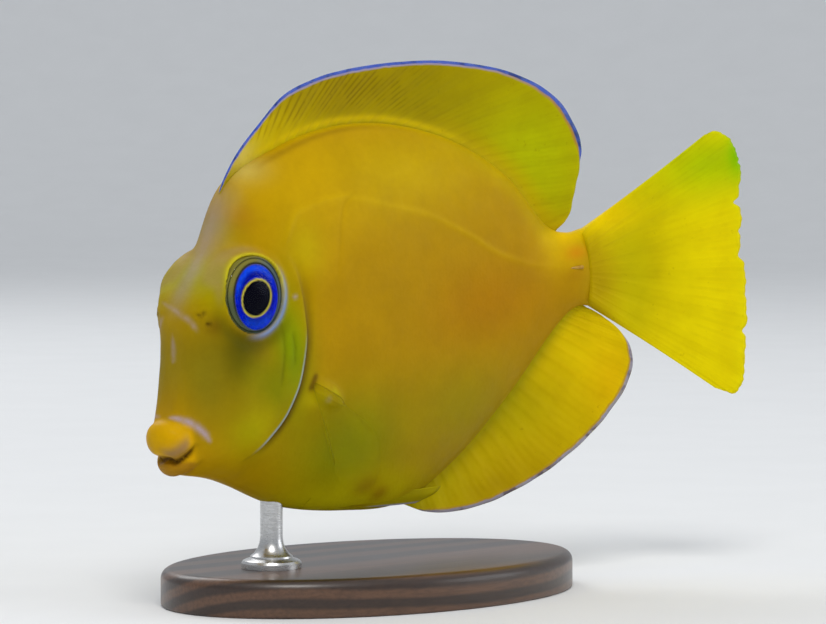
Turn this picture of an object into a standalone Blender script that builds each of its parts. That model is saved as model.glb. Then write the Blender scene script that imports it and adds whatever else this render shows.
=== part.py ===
"""A young Atlantic blue tang in its yellow phase, as a still, life-size model on a display stand.

The fish is modelled straight, in millimetres: X runs back from the tip of the snout, the left
flank is on -Y, and Z is up from the body's axis. Each part is then bent and pitched into its
pose in metres, and the whole stands over the origin with the stand's underside at Z = 0.
"""

import math

import bmesh
import bpy
from mathutils import Vector
from mathutils.bvhtree import BVHTree

MM = 0.001
LEFT = -1
RIGHT = 1

# Clearance kept between parts that touch
GAP = 0.32

# Pose: nose down, with the tail swung towards the left flank
PITCH = math.radians(7.0)
PIVOT_S = 31.0
BEND = math.radians(22.0)
BEND_START = 30.0
BEND_END = 70.0

# The body's back and belly in side view, as (distance from the snout, height), mouth to tail
BACK = [
    (2.7, -7.7), (4.1, -4.3), (5.1, -0.6), (6.2, 4.2), (9.3, 9.8), (14.4, 16.2), (22.2, 19.3),
    (30.0, 20.4), (38.0, 19.6), (46.0, 16.8), (52.5, 12.2), (57.4, 7.0), (60.0, 4.8), (62.3, 5.1),
]
BELLY = [
    (3.1, -12.2), (4.6, -13.1), (6.0, -13.5), (7.4, -13.9), (9.0, -14.5), (11.0, -15.5),
    (17.5, -18.9), (26.0, -20.9), (34.0, -21.5), (42.0, -18.2), (50.0, -12.3), (57.0, -5.7),
    (60.0, -3.7), (62.3, -3.8),
]
# Along the same stations: how far each rib bows back, and half the body's width
BOW = [0.0, 0.5, 1.2, 2.6, 4.6, 6.3, 5.2, 3.4, 2.0, 1.0, 0.0, -0.9, -0.3, 0.5]
HALF_WIDTH = [2.1, 3.2, 4.2, 5.1, 5.6, 5.8, 6.1, 6.1, 5.6, 4.7, 3.5, 2.3, 1.7, 1.0]
STATIONS = len(BACK) - 1

# Cross-section: blunt round the head, drawn to a keel under the fins
KEEL_HALF_WIDTH = 0.5
SECTION_POWER = 2.4
BACK_FULLNESS = (0.38, 0.62)
BELLY_FULLNESS = (0.5, 0.58)

# Where the body is divided, in stations
GILL_STATION = 5.0
STALK_STATION = 11.3
GILL_COVER_LIFT = 0.45
GILL_COVER_RUN = 1.6

# Eyes
EYE_CENTRE = (12.8, 4.8)
EYE_RADIUS = 4.2
EYE_DEPTH = 2.6
EYE_OUT = 3.8
ORBIT_OUT = 5.1
ORBIT_RADII = (4.2, 8.0)

# Lips: half-rings round the front of the mouth
UPPER_LIP = {"front": 2.5, "corner": 5.0, "half_width": 2.5, "height": -8.9, "drop": -1.3, "radius": 1.35}
LOWER_LIP = {"front": 2.8, "corner": 5.1, "half_width": 2.3, "height": -11.45, "drop": 0.8, "radius": 1.0}
LIP_SWEEP = math.radians(84.0)
LIP_CORNER_SHARE = 0.4

# Nostrils, in front of each eye
NOSTRILS = [(6.9, 2.7, 0.55), (7.9, 1.7, 0.35)]

# Fins: half-thickness of rays and membrane, and how they thin towards the margin
RAY_HALF = 0.46
MEMBRANE_HALF = 0.27
MARGIN_SHARE = 0.62
MEMBRANE_NOTCH = 0.025

DORSAL_RAYS = 36
DORSAL_ROOT = (5.12, 11.22)
DORSAL_MARGIN = [
    (15.7, 18.4), (20.1, 22.2), (26.4, 25.1), (33.0, 26.1), (40.0, 26.2), (47.0, 25.5),
    (54.5, 23.5), (60.0, 20.1), (62.5, 15.7), (62.1, 11.0), (60.6, 7.4),
]
ANAL_RAYS = 28
ANAL_ROOT = (8.08, 11.22)
ANAL_MARGIN = [
    (36.0, -22.8), (40.0, -23.7), (45.6, -23.8), (51.0, -22.9), (56.5, -21.1), (61.5, -18.2),
    (65.3, -14.7), (66.9, -10.6), (65.6, -7.0), (62.6, -4.9),
]
CAUDAL_RAYS = 17
CAUDAL_ROOT_INSET = 0.03
CAUDAL_MARGIN = [
    (80.0, -16.3), (81.1, -13.2), (81.5, -8.0), (81.8, -2.5), (81.8, 3.5), (82.1, 9.0), (81.8, 12.4),
    (79.9, 14.3),
]
CAUDAL_SPLAY = 1.1
CAUDAL_WAVE = 0.25
CAUDAL_WAVES = 5

PECTORAL_RAYS = 14
PECTORAL_ROOT = ((18.9, -5.6), (22.7, -8.3))
PECTORAL_TIPS = [(15.4, 6.4, -14.2), (17.6, 6.4, -16.2), (20.4, 5.8, -16.6), (23.2, 4.4, -14.8), (24.6, 2.9, -12.0)]
PECTORAL_LOBE = (2.5, 0.75, 1.3)

PELVIC_RAYS = 6
PELVIC_STATION = 6.2
PELVIC_LEVELS = (-0.88, -0.985)
PELVIC_TIPS = [(36.8, 3.1, -20.9), (36.2, 2.6, -21.8), (34.6, 1.9, -22.5)]
PELVIC_ARCH = (0.0, 0.4, -0.9)

# Folded spine on each side of the tail stalk
SPINE_START = (58.3, 0.9)
SPINE_LENGTH = 3.0
SPINE_WIDTH = 0.75
SPINE_HEIGHT = 0.35

# Stand
BASE_HALF_LENGTH = 26.0
BASE_HALF_WIDTH = 17.0
BASE_THICKNESS = 4.0
BASE_EDGE = 0.9
BASE_CENTRE_X = 2.0
FIN_CLEARANCE = 4.2
ROD_S = 16.3
ROD_RADIUS = 1.2
ROD_FOOT = [(3.2, 0.0), (3.2, 0.8), (2.2, 1.2), (1.5, 1.9), (ROD_RADIUS, 3.0)]
ROD_SIDES = 20

# How finely the smooth surfaces are divided
HEAD_RIBS = 24
TORSO_RIBS = 13
STALK_RIBS = 5
HEAD_RIB_POINTS = 27
TRUNK_RIB_POINTS = 19

COLOURS = {
    "skin_yellow": ((0.50, 0.26, 0.01), 0.35),
    "fin_yellow": ((0.62, 0.42, 0.01), 0.4),
    "eye_blue": ((0.01, 0.03, 0.45), 0.08),
    "stand_wood": ((0.06, 0.03, 0.015), 0.35),
    "stand_steel": ((0.6, 0.6, 0.6), 0.25),
}


def smooth(points, place):
    """Read a smooth curve through points at a place counted in points, from 0 to the last."""
    last = len(points) - 1
    place = min(max(place, 0.0), float(last))
    index = min(int(place), last - 1)
    part = place - index
    here, following = Vector(points[index]), Vector(points[index + 1])
    before = Vector(points[index - 1]) if index > 0 else 2 * here - following
    after = Vector(points[index + 2]) if index + 2 <= last else 2 * following - here
    return 0.5 * (
        2 * here
        + (following - before) * part
        + (2 * before - 5 * here + 4 * following - after) * part ** 2
        + (3 * here - before - 3 * following + after) * part ** 3
    )


def smooth_value(values, place):
    """Read one number off a smooth curve through evenly placed values."""
    return smooth([(value, 0.0) for value in values], place).x


def ease(value):
    """Rise smoothly from 0 to 1 as value does."""
    value = min(max(value, 0.0), 1.0)
    return value * value * (3.0 - 2.0 * value)


def rib_point(station, level):
    """Distance and height of a point on a rib; level runs from -1, the belly, to 1, the back."""
    back, belly = smooth(BACK, station), smooth(BELLY, station)
    point = belly.lerp(back, (level + 1.0) / 2.0)
    point.x += smooth_value(BOW, station) * (1.0 - level * level)
    return point


def half_width(station, level):
    """Half the body's width at a point on a rib."""
    along = ease(station / (GILL_STATION + 2.0))
    fullness = BACK_FULLNESS if level > 0 else BELLY_FULLNESS
    exponent = fullness[0] + (fullness[1] - fullness[0]) * along
    section = max(0.0, 1.0 - abs(level) ** SECTION_POWER) ** exponent
    width = KEEL_HALF_WIDTH + (smooth_value(HALF_WIDTH, station) - KEEL_HALF_WIDTH) * section
    point = rib_point(station, level)
    inner, outer = ORBIT_RADII
    orbit = 1.0 - ease((math.dist(point, EYE_CENTRE) - inner) / (outer - inner))
    return width + (ORBIT_OUT - width) * orbit * ease(3.0 * section)


def on_flank(distance, height):
    """Half the body's width at a distance from the snout and a height."""
    low, high = 0.0, float(STATIONS)
    for _ in range(40):
        station = (low + high) / 2.0
        back, belly = smooth(BACK, station), smooth(BELLY, station)
        level = 2.0 * (height - belly.y) / (back.y - belly.y) - 1.0
        level = min(max(level, -1.0), 1.0)
        if rib_point(station, level).x < distance:
            low = station
        else:
            high = station
    return half_width(station, level)


def pose(point):
    """Carry a point of the straight fish, in millimetres, to its place in the pose, in metres."""
    distance, out, height = point
    bent = min(max(distance - BEND_START, 0.0), BEND_END - BEND_START)
    radius = (BEND_END - BEND_START) / BEND
    heading = bent / radius
    straight = distance - bent
    past = max(distance - BEND_END, 0.0)
    along = straight - past + radius * math.sin(heading) + past * math.cos(heading)
    swing = radius * (1.0 - math.cos(heading)) + past * math.sin(heading)
    along += out * math.sin(heading) - PIVOT_S
    x = along * math.cos(PITCH) - height * math.sin(PITCH)
    z = along * math.sin(PITCH) + height * math.cos(PITCH)
    return Vector((x, out * math.cos(heading) - swing, z)) * MM


def clear_scene():
    """Start from an empty scene."""
    for obj in list(bpy.data.objects):
        bpy.data.objects.remove(obj)


def material(name):
    """One of the model's plain materials."""
    colour, roughness = COLOURS[name]
    finish = bpy.data.materials.new(name)
    finish.use_nodes = True
    shader = finish.node_tree.nodes["Principled BSDF"]
    shader.inputs["Base Color"].default_value = (*colour, 1.0)
    shader.inputs["Roughness"].default_value = roughness
    shader.inputs["Metallic"].default_value = 1.0 if name == "stand_steel" else 0.0
    return finish


def make_object(name, bm, finish=None):
    """Turn a bmesh into an object of one closed body."""
    bmesh.ops.remove_doubles(bm, verts=bm.verts, dist=1e-5)
    bmesh.ops.recalc_face_normals(bm, faces=bm.faces)
    mesh = bpy.data.meshes.new(name)
    bm.to_mesh(mesh)
    bm.free()
    obj = bpy.data.objects.new(name, mesh)
    bpy.context.scene.collection.objects.link(obj)
    if finish:
        mesh.materials.append(material(finish))
    return obj


def strip(bm, first, second):
    """Join two rows of vertices with a strip of faces."""
    for index in range(len(first) - 1):
        corners = (first[index], first[index + 1], second[index + 1], second[index])
        bm.faces.new(corners)


def skin_ribs(bm, ribs):
    """Skin closed ribs, each listed up the left flank and down the right, and close both ends."""
    count = len(ribs[0]) // 2
    for rib, following in zip(ribs, ribs[1:]):
        strip(bm, rib + rib[:1], following + following[:1])
    for rib in (ribs[0], ribs[-1]):
        strip(bm, rib[:count], rib[:count - 1:-1])


def body_rib(bm, station, points, lift=0.0):
    """One closed rib of the body, lifted off the flank by lift halfway up."""
    left, right = [], []
    for index in range(points):
        level = math.sin(math.pi * (index / (points - 1) - 0.5))
        distance, height = rib_point(station, level)
        width = half_width(station, level) + lift * (1.0 - level * level)
        left.append(bm.verts.new((distance, LEFT * width, height)))
        right.append(bm.verts.new((distance, RIGHT * width, height)))
    return left + right[::-1]


def body_length(name, start, end, count, points, lift_end=False):
    """A length of the body between two stations, as one closed piece."""
    bm = bmesh.new()
    ribs = []
    for index in range(count):
        station = start + (end - start) * index / (count - 1)
        lift = 0.0
        if lift_end:
            lift = GILL_COVER_LIFT * ease(1.0 - (end - station) / GILL_COVER_RUN)
        ribs.append(body_rib(bm, station, points, lift))
    skin_ribs(bm, ribs)
    return make_object(name, bm, "skin_yellow")


def ball(name, centre, radii, segments=20, rings=12):
    """An ellipsoid, for an eye, a socket or a small lobe."""
    bm = bmesh.new()
    bmesh.ops.create_uvsphere(bm, u_segments=segments, v_segments=rings, radius=1.0)
    for vertex in bm.verts:
        x, y, z = vertex.co
        vertex.co = (x * radii[0], z * radii[1], -y * radii[2])
    bmesh.ops.translate(bm, verts=bm.verts, vec=centre)
    return make_object(name, bm)


def lip(name, sizes, sides=10, steps=14):
    """Half a ring round the mouth, thick in front and thin at the corners."""
    bm = bmesh.new()
    rings = []
    depth = sizes["corner"] - sizes["front"]
    for step in range(steps + 1):
        turn = LIP_SWEEP * (2.0 * step / steps - 1.0)
        fade = 1.0 - math.cos(turn)
        centre = Vector((
            sizes["corner"] - depth * math.cos(turn),
            sizes["half_width"] * math.sin(turn),
            sizes["height"] + sizes["drop"] * fade,
        ))
        outward = Vector((-sizes["half_width"] * math.cos(turn), depth * math.sin(turn), 0.0)).normalized()
        radius = sizes["radius"] * (1.0 - (1.0 - LIP_CORNER_SHARE) * fade)
        ring = []
        for side in range(sides):
            angle = 2.0 * math.pi * side / sides
            offset = outward * math.cos(angle) + Vector((0, 0, 1)) * math.sin(angle)
            ring.append(bm.verts.new(centre + offset * radius))
        rings.append(ring)
    for ring, following in zip(rings, rings[1:]):
        strip(bm, ring + ring[:1], following + following[:1])
    bm.faces.new(rings[0])
    bm.faces.new(rings[-1])
    return make_object(name, bm)


def combine(target, pieces, operation):
    """Join pieces to the target, or cut them from it, in one Boolean, and remove them."""
    group = bpy.data.collections.new(target.name + "_pieces")
    for piece in pieces:
        group.objects.link(piece)
    cut = target.modifiers.new("combine", "BOOLEAN")
    cut.operation = operation
    cut.solver = "EXACT"
    cut.operand_type = "COLLECTION"
    cut.collection = group
    shaped = bpy.data.meshes.new_from_object(
        target.evaluated_get(bpy.context.evaluated_depsgraph_get())
    )
    target.modifiers.remove(cut)
    target.data = shaped
    for piece in pieces:
        bpy.data.objects.remove(piece)
    bpy.data.collections.remove(group)
    keep_largest(target)


def keep_largest(obj):
    """Keep only the largest closed surface of an object."""
    bm = bmesh.new()
    bm.from_mesh(obj.data)
    unseen = set(bm.faces)
    shells = []
    while unseen:
        shell, front = set(), [unseen.pop()]
        while front:
            face = front.pop()
            shell.add(face)
            for edge in face.edges:
                for neighbour in edge.link_faces:
                    if neighbour in unseen:
                        unseen.remove(neighbour)
                        front.append(neighbour)
        shells.append(shell)
    largest = max(shells, key=lambda shell: sum(face.calc_area() for face in shell))
    scraps = [face for face in bm.faces if face not in largest]
    bmesh.ops.delete(bm, geom=scraps, context="FACES")
    bm.to_mesh(obj.data)
    bm.free()


def flat(share):
    """The arch of rays that run straight."""
    return Vector((0.0, 0.0, 0.0))


def fin(name, roots, tips, rays, stations, arch=flat):
    """A fin's membrane with its rays raised in both faces, from a root line to a margin.

    roots and tips give a point for each share of the way along the fin, from 0 to 1, and arch
    gives how far a ray leaves the straight line half way out.
    """
    columns = 2 * (rays - 1) + 1
    centres = []
    for column in range(columns):
        share = column / (columns - 1)
        root, tip = roots(share), tips(share)
        if column % 2:
            tip = tip.lerp(root, MEMBRANE_NOTCH)
        row = []
        for step in range(stations):
            out = step / (stations - 1)
            point = root.lerp(tip, out)
            point += arch(share) * math.sin(math.pi * out)
            row.append(point)
        centres.append(row)

    bm = bmesh.new()
    faces = {LEFT: [], RIGHT: []}
    for column in range(columns):
        before = centres[max(column - 1, 0)]
        after = centres[min(column + 1, columns - 1)]
        for side in (LEFT, RIGHT):
            faces[side].append([])
        for step in range(stations):
            out = step / (stations - 1)
            spread = after[step] - before[step]
            along = centres[column][min(step + 1, stations - 1)] - centres[column][max(step - 1, 0)]
            normal = along.cross(spread).normalized()
            half = MEMBRANE_HALF if column % 2 else RAY_HALF + (MEMBRANE_HALF - RAY_HALF) * out
            half *= 1.0 - (1.0 - MARGIN_SHARE) * ease(2.0 * out - 1.0)
            for side in (LEFT, RIGHT):
                faces[side][column].append(bm.verts.new(centres[column][step] + normal * half * side))

    for side in (LEFT, RIGHT):
        grid = faces[side]
        for column in range(columns - 1):
            for step in range(stations - 1):
                near, far = grid[column], grid[column + 1]
                bm.faces.new((near[step], near[step + 1], far[step + 1]))
                bm.faces.new((near[step], far[step + 1], far[step]))
    left, right = faces[LEFT], faces[RIGHT]
    strip(bm, left[0], right[0])
    strip(bm, left[-1], right[-1])
    strip(bm, [row[0] for row in left], [row[0] for row in right])
    strip(bm, [row[-1] for row in left], [row[-1] for row in right])
    return make_object(name, bm, "fin_yellow")


def keel_root(outline, ends, direction):
    """A root line that follows the body's back or belly, just clear of it."""
    def point(share):
        station = ends[0] + (ends[1] - ends[0]) * share
        here = smooth(outline, station)
        run = smooth(outline, station + 0.05) - smooth(outline, station - 0.05)
        normal = Vector((-run.y, run.x)).normalized() * direction * GAP
        return Vector((here.x + normal.x, 0.0, here.y + normal.y))
    return point


def margin(outline):
    """A fin's margin in the body's middle plane."""
    def point(share):
        distance, height = smooth(outline, share * (len(outline) - 1))
        return Vector((distance, 0.0, height))
    return point


def caudal_root(share):
    """A point across the end of the tail stalk, just behind it."""
    level = (2.0 * share - 1.0) * (1.0 - CAUDAL_ROOT_INSET)
    distance, height = rib_point(STATIONS, level)
    return Vector((distance + GAP, 0.0, height))


def caudal_arch(share):
    """The outermost rays of the tail fin arch away from the middle one."""
    return Vector((0.0, 0.0, CAUDAL_SPLAY * (2.0 * share - 1.0) ** 3))


def caudal_margin(share):
    """The tail fin's rear edge, gently waved."""
    point = margin(CAUDAL_MARGIN)(share)
    point.x += CAUDAL_WAVE * math.sin(2.0 * math.pi * CAUDAL_WAVES * share)
    return point


def on_side(place, side):
    """A function of points of the right side, carried to a side."""
    def point(share):
        distance, out, height = place(share)
        return Vector((distance, side * out, height))
    return point


def paired_fins(name, roots, tips, rays, stations, arch=flat):
    """The left and right fins of a pair."""
    for side, word in ((LEFT, "left"), (RIGHT, "right")):
        places = [on_side(place, side) for place in (roots, tips)]
        fin(f"{name}_{word}", *places, rays, stations, on_side(arch, side))


def pectoral_root(share):
    """The root of a pectoral fin, over the fleshy lobe on the flank."""
    upper, lower = (Vector(end) for end in PECTORAL_ROOT)
    place = upper.lerp(lower, share)
    lobe = PECTORAL_LOBE[1] * (1.0 - (2.0 * share - 1.0) ** 2)
    return Vector((place.x, on_flank(*place) + lobe + 2.0 * GAP, place.y))


def pectoral_tip(share):
    """The margin of a pectoral fin, measured out from the flank at its root."""
    point = smooth(PECTORAL_TIPS, share * (len(PECTORAL_TIPS) - 1))
    point.y += on_flank(*PECTORAL_ROOT[0])
    return point


def pelvic_root(share):
    """The root of a pelvic fin, low on the breast."""
    level = PELVIC_LEVELS[0] + (PELVIC_LEVELS[1] - PELVIC_LEVELS[0]) * share
    distance, height = rib_point(PELVIC_STATION, level)
    width = half_width(PELVIC_STATION, level)
    higher = level + 0.01
    rise = rib_point(PELVIC_STATION, higher).y - height
    spread = half_width(PELVIC_STATION, higher) - width
    off = Vector((rise, -spread)).normalized() * (RAY_HALF + GAP)
    return Vector((distance, width + off.x, height + off.y))


def pelvic_tip(share):
    """The margin of a pelvic fin, folded back under the belly."""
    return smooth(PELVIC_TIPS, share * (len(PELVIC_TIPS) - 1))


def pelvic_arch(share):
    """A folded pelvic fin curves round the belly."""
    return Vector(PELVIC_ARCH)


def build_head():
    """The head, with its lips, eye sockets, nostrils and raised gill covers."""
    head = body_length("head", 0.0, GILL_STATION, HEAD_RIBS, HEAD_RIB_POINTS, lift_end=True)
    combine(head, [lip("upper_lip", UPPER_LIP), lip("lower_lip", LOWER_LIP)], "UNION")
    hollows = []
    for side in (LEFT, RIGHT):
        socket = (EYE_RADIUS + GAP, EYE_DEPTH + GAP, EYE_RADIUS + GAP)
        centre = (EYE_CENTRE[0], side * EYE_OUT, EYE_CENTRE[1])
        hollows.append(ball("socket", centre, socket))
        for distance, height, radius in NOSTRILS:
            centre = (distance, side * on_flank(distance, height), height)
            hollows.append(ball("nostril", centre, (radius, radius, radius), 8, 6))
    combine(head, hollows, "DIFFERENCE")


def build_eyes():
    """The eyes, each set in its socket and bulging a little past the skin."""
    for side, word in ((LEFT, "left"), (RIGHT, "right")):
        centre = (EYE_CENTRE[0], side * EYE_OUT, EYE_CENTRE[1])
        eye = ball(f"eye_{word}", centre, (EYE_RADIUS, EYE_DEPTH, EYE_RADIUS))
        eye.data.materials.append(material("eye_blue"))


def build_torso():
    """The trunk, with the fleshy lobe that carries each pectoral fin."""
    torso = body_length("torso", GILL_STATION + 0.07, STALK_STATION, TORSO_RIBS, TRUNK_RIB_POINTS)
    upper, lower = (Vector(end) for end in PECTORAL_ROOT)
    middle = (upper + lower) / 2.0
    slope = math.atan2(lower.y - upper.y, lower.x - upper.x)
    lobes = []
    for side in (LEFT, RIGHT):
        lobe = ball("lobe", (0.0, 0.0, 0.0), PECTORAL_LOBE, 12, 8)
        for vertex in lobe.data.vertices:
            x, y, z = vertex.co
            vertex.co = (
                middle.x + x * math.cos(slope) - z * math.sin(slope),
                y + side * on_flank(*middle),
                middle.y + x * math.sin(slope) + z * math.cos(slope),
            )
        lobes.append(lobe)
    combine(torso, lobes, "UNION")


def build_tail_stalk():
    """The narrow stalk of the tail, with the sharp spine folded along each side."""
    stalk = body_length("tail_stalk", STALK_STATION + 0.12, STATIONS, STALK_RIBS, TRUNK_RIB_POINTS)
    spines = []
    for side in (LEFT, RIGHT):
        out = side * on_flank(SPINE_START[0] + SPINE_LENGTH / 2.0, SPINE_START[1])
        bm = bmesh.new()
        bmesh.ops.create_cone(
            bm, cap_ends=True, segments=8, radius1=SPINE_WIDTH / 2.0, radius2=0.08, depth=SPINE_LENGTH
        )
        for vertex in bm.verts:
            x, y, z = vertex.co
            distance = SPINE_START[0] + SPINE_LENGTH / 2.0 - z
            vertex.co = (distance, out + y * 2.0 * SPINE_HEIGHT / SPINE_WIDTH, SPINE_START[1] + x)
        spines.append(make_object("spine", bm))
    combine(stalk, spines, "UNION")


def build_fins():
    """All the fins."""
    fin("dorsal_fin", keel_root(BACK, DORSAL_ROOT, 1.0), margin(DORSAL_MARGIN), DORSAL_RAYS, 7)
    fin("anal_fin", keel_root(BELLY, ANAL_ROOT, -1.0), margin(ANAL_MARGIN), ANAL_RAYS, 6)
    fin("caudal_fin", caudal_root, caudal_margin, CAUDAL_RAYS, 8, caudal_arch)
    paired_fins("pectoral_fin", pectoral_root, pectoral_tip, PECTORAL_RAYS, 6)
    paired_fins("pelvic_fin", pelvic_root, pelvic_tip, PELVIC_RAYS, 6, pelvic_arch)


def pose_fish():
    """Bend and pitch every part of the straight fish into the pose."""
    for obj in bpy.data.objects:
        bm = bmesh.new()
        bm.from_mesh(obj.data)
        bmesh.ops.triangulate(bm, faces=bm.faces)
        for vertex in bm.verts:
            vertex.co = pose(vertex.co)
        bm.to_mesh(obj.data)
        bm.free()


def lowest_and_highest(objects):
    """The corners of the box round some objects."""
    corners = [vertex.co for obj in objects for vertex in obj.data.vertices]
    low = Vector(min(corner[axis] for corner in corners) for axis in range(3))
    high = Vector(max(corner[axis] for corner in corners) for axis in range(3))
    return low, high


def build_stand():
    """The flat base, and the rod whose top is cut to the fish's breast."""
    low, _ = lowest_and_highest(bpy.data.objects)
    top = low.z / MM - FIN_CLEARANCE

    bm = bmesh.new()
    bmesh.ops.create_cone(bm, cap_ends=True, segments=56, radius1=1.0, radius2=1.0, depth=BASE_THICKNESS)
    bmesh.ops.scale(bm, vec=(BASE_HALF_LENGTH, BASE_HALF_WIDTH, 1.0), verts=bm.verts)
    rim = [edge for edge in bm.edges if all(vertex.co.z > 0 for vertex in edge.verts)]
    bmesh.ops.bevel(
        bm, geom=rim, offset=BASE_EDGE, segments=3, profile=0.5, affect="EDGES", material=-1
    )
    place = (BASE_CENTRE_X, 0.0, top - BASE_THICKNESS / 2.0)
    bmesh.ops.translate(bm, verts=bm.verts, vec=place)
    bmesh.ops.scale(bm, vec=(MM, MM, MM), verts=bm.verts)
    bmesh.ops.triangulate(bm, faces=bm.faces)
    make_object("stand_base", bm, "stand_wood")

    breast = BVHTree.FromPolygons(
        [vertex.co for vertex in bpy.data.objects["torso"].data.vertices],
        [face.vertices for face in bpy.data.objects["torso"].data.polygons],
    )
    foot = pose((ROD_S, 0.0, rib_point(GILL_STATION + 1.0, -1.0).y))
    start = top + GAP
    bm = bmesh.new()
    rings = []
    for radius, height in ROD_FOOT:
        ring = []
        for side in range(ROD_SIDES):
            turn = 2.0 * math.pi * side / ROD_SIDES
            spot = Vector((math.cos(turn), math.sin(turn), 0.0)) * radius * MM
            ring.append(bm.verts.new((foot.x + spot.x, spot.y, (start + height) * MM)))
        rings.append(ring)
    seat = []
    for vertex in rings[-1]:
        hit = breast.ray_cast(vertex.co, Vector((0.0, 0.0, 1.0)))[0]
        seat.append(bm.verts.new((vertex.co.x, vertex.co.y, hit.z - GAP * MM)))
    rings.append(seat)
    for ring, following in zip(rings, rings[1:]):
        strip(bm, ring + ring[:1], following + following[:1])
    bm.faces.new(rings[0])
    middle = breast.ray_cast(Vector((foot.x, 0.0, start * MM)), Vector((0.0, 0.0, 1.0)))[0]
    crown = bm.verts.new((foot.x, 0.0, middle.z - GAP * MM))
    for side in range(ROD_SIDES):
        bm.faces.new((seat[side - 1], seat[side], crown))
    bmesh.ops.triangulate(bm, faces=bm.faces)
    make_object("stand_rod", bm, "stand_steel")


def centre_on_origin():
    """Stand the whole model over the origin."""
    low, high = lowest_and_highest(bpy.data.objects)
    shift = Vector((-(low.x + high.x) / 2.0, -(low.y + high.y) / 2.0, -low.z))
    for obj in bpy.data.objects:
        for vertex in obj.data.vertices:
            vertex.co += shift


def shade():
    """Shade the round parts smooth, with sharp edges kept."""
    for obj in bpy.data.objects:
        obj.data.shade_smooth()
        obj.data.set_sharp_from_angle(angle=math.radians(35.0))


def main():
    clear_scene()
    build_head()
    build_eyes()
    build_torso()
    build_tail_stalk()
    build_fins()
    pose_fish()
    build_stand()
    centre_on_origin()
    shade()


main()
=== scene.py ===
"""A young blue tang in its yellow phase, life size, dressed over its CAD frame on a stand.

The fish is modelled straight, in millimetres: distance back from the snout, out from the
middle plane (the left flank is on -1) and height. Each piece is then carried into the pose.
"""

import math

import bmesh
import bpy
import numpy as np
from mathutils import Matrix, Vector


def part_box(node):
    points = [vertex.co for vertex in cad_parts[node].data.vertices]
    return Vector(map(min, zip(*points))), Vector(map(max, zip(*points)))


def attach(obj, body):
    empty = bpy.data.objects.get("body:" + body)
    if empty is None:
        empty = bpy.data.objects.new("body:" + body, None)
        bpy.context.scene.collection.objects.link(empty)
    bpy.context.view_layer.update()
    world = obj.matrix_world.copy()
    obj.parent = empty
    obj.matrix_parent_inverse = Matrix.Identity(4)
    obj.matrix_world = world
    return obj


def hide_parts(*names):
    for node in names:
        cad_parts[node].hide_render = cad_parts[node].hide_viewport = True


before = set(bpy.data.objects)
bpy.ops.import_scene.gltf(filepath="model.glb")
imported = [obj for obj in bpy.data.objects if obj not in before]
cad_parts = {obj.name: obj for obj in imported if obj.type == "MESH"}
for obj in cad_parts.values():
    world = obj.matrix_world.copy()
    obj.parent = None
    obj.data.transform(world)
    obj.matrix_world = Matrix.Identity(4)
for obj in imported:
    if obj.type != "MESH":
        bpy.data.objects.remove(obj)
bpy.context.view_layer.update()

bl_info = {
    "name": "Blue tang model",
    "version": (1, 0, 0),
    "blender": (4, 5, 0),
    "location": "3D View > Sidebar > Blue tang",
    "description": "A young blue tang in its yellow phase on a display stand",
    "category": "Object",
}

MM = 0.001
LEFT, RIGHT = -1, 1
SIDES = ((LEFT, "left"), (RIGHT, "right"))
WHOLE_TURN = 2.0 * math.pi

PITCH = math.radians(7.0)
PIVOT_S = 31.0
BEND = math.radians(22.0)
BEND_START, BEND_END = 30.0, 70.0

# The body's ribs, from the mouth to the tail fin
BACK = [
    (2.7, -7.7), (4.1, -4.3), (5.1, -0.6), (6.1, 4.4), (10.0, 9.3), (14.4, 16.2), (22.2, 19.3),
    (30.0, 20.4), (38.0, 19.6), (46.0, 16.8), (52.5, 12.2), (56.9, 6.3), (59.8, 4.85), (62.3, 5.1),
]
BELLY = [
    (3.1, -12.2), (4.6, -13.1), (6.0, -13.5), (7.4, -13.9), (9.0, -14.5), (11.0, -15.5), (17.5, -18.9),
    (26.0, -20.9), (34.0, -21.5), (42.0, -18.2), (50.0, -12.3), (57.0, -5.7), (60.0, -3.7), (62.3, -3.8),
]
BOW = [0.0, 0.5, 1.2, 2.6, 4.6, 6.3, 5.2, 3.4, 2.0, 1.0, 0.0, -0.9, -0.3, 0.5]
HALF_WIDTH = [2.1, 3.2, 4.2, 5.1, 5.6, 5.8, 6.1, 6.1, 5.6, 4.7, 3.5, 2.3, 1.7, 1.0]
STATIONS = len(BACK) - 1
FULL_STATION = 7.0
KEEL_HALF_WIDTH = 0.5
SECTION_POWER = 2.4
BACK_FULLNESS = (0.38, 0.62)
BELLY_FULLNESS = (0.5, 0.58)
STALK_TAPER = 3.0
BODY_GRID = (170, 160)
KEEL_ROUNDING = 0.12
SKIN_ROUNDS = 3

EYE_CENTRE = (12.45, 4.8)
EYE_OUT = 3.8
EYE_NARROW = 0.95
ORBIT_CENTRE = (12.8, 4.8)
ORBIT_OUT = 5.1
ORBIT_RADII = (4.2, 8.0)
ORBIT_RISE = 1.4
EYE_RIM_OUT = ORBIT_OUT - 0.05
EYE_GRID = (128, 80)
PUPIL_TILT = math.radians(48.0)
# Eye forms: rise of the dome, its radius past the dark ring, depth of the back
BALL_DOME = (0.48, 0.1, 3.4)
CORNEA_DOME = (1.05, 0.06, 0.3)

UPPER_LIP = {
    "front": 2.6, "corner": 5.0, "half_width": 2.5, "height": -8.95, "drop": -0.9,
    "radius": 1.3, "rise": 1.85, "corner_share": 0.4,
}
LOWER_LIP = {
    "front": 3.45, "corner": 5.5, "half_width": 2.4, "height": -11.95, "drop": 1.3,
    "radius": 0.95, "rise": 1.1, "corner_share": 0.8,
}
LIP_SWEEP = math.radians(84.0)
LIP_GRID = (60, 36)
MOUTH_MIDDLE = 5.5
MOUTH_RADIUS = 3.5
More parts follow.
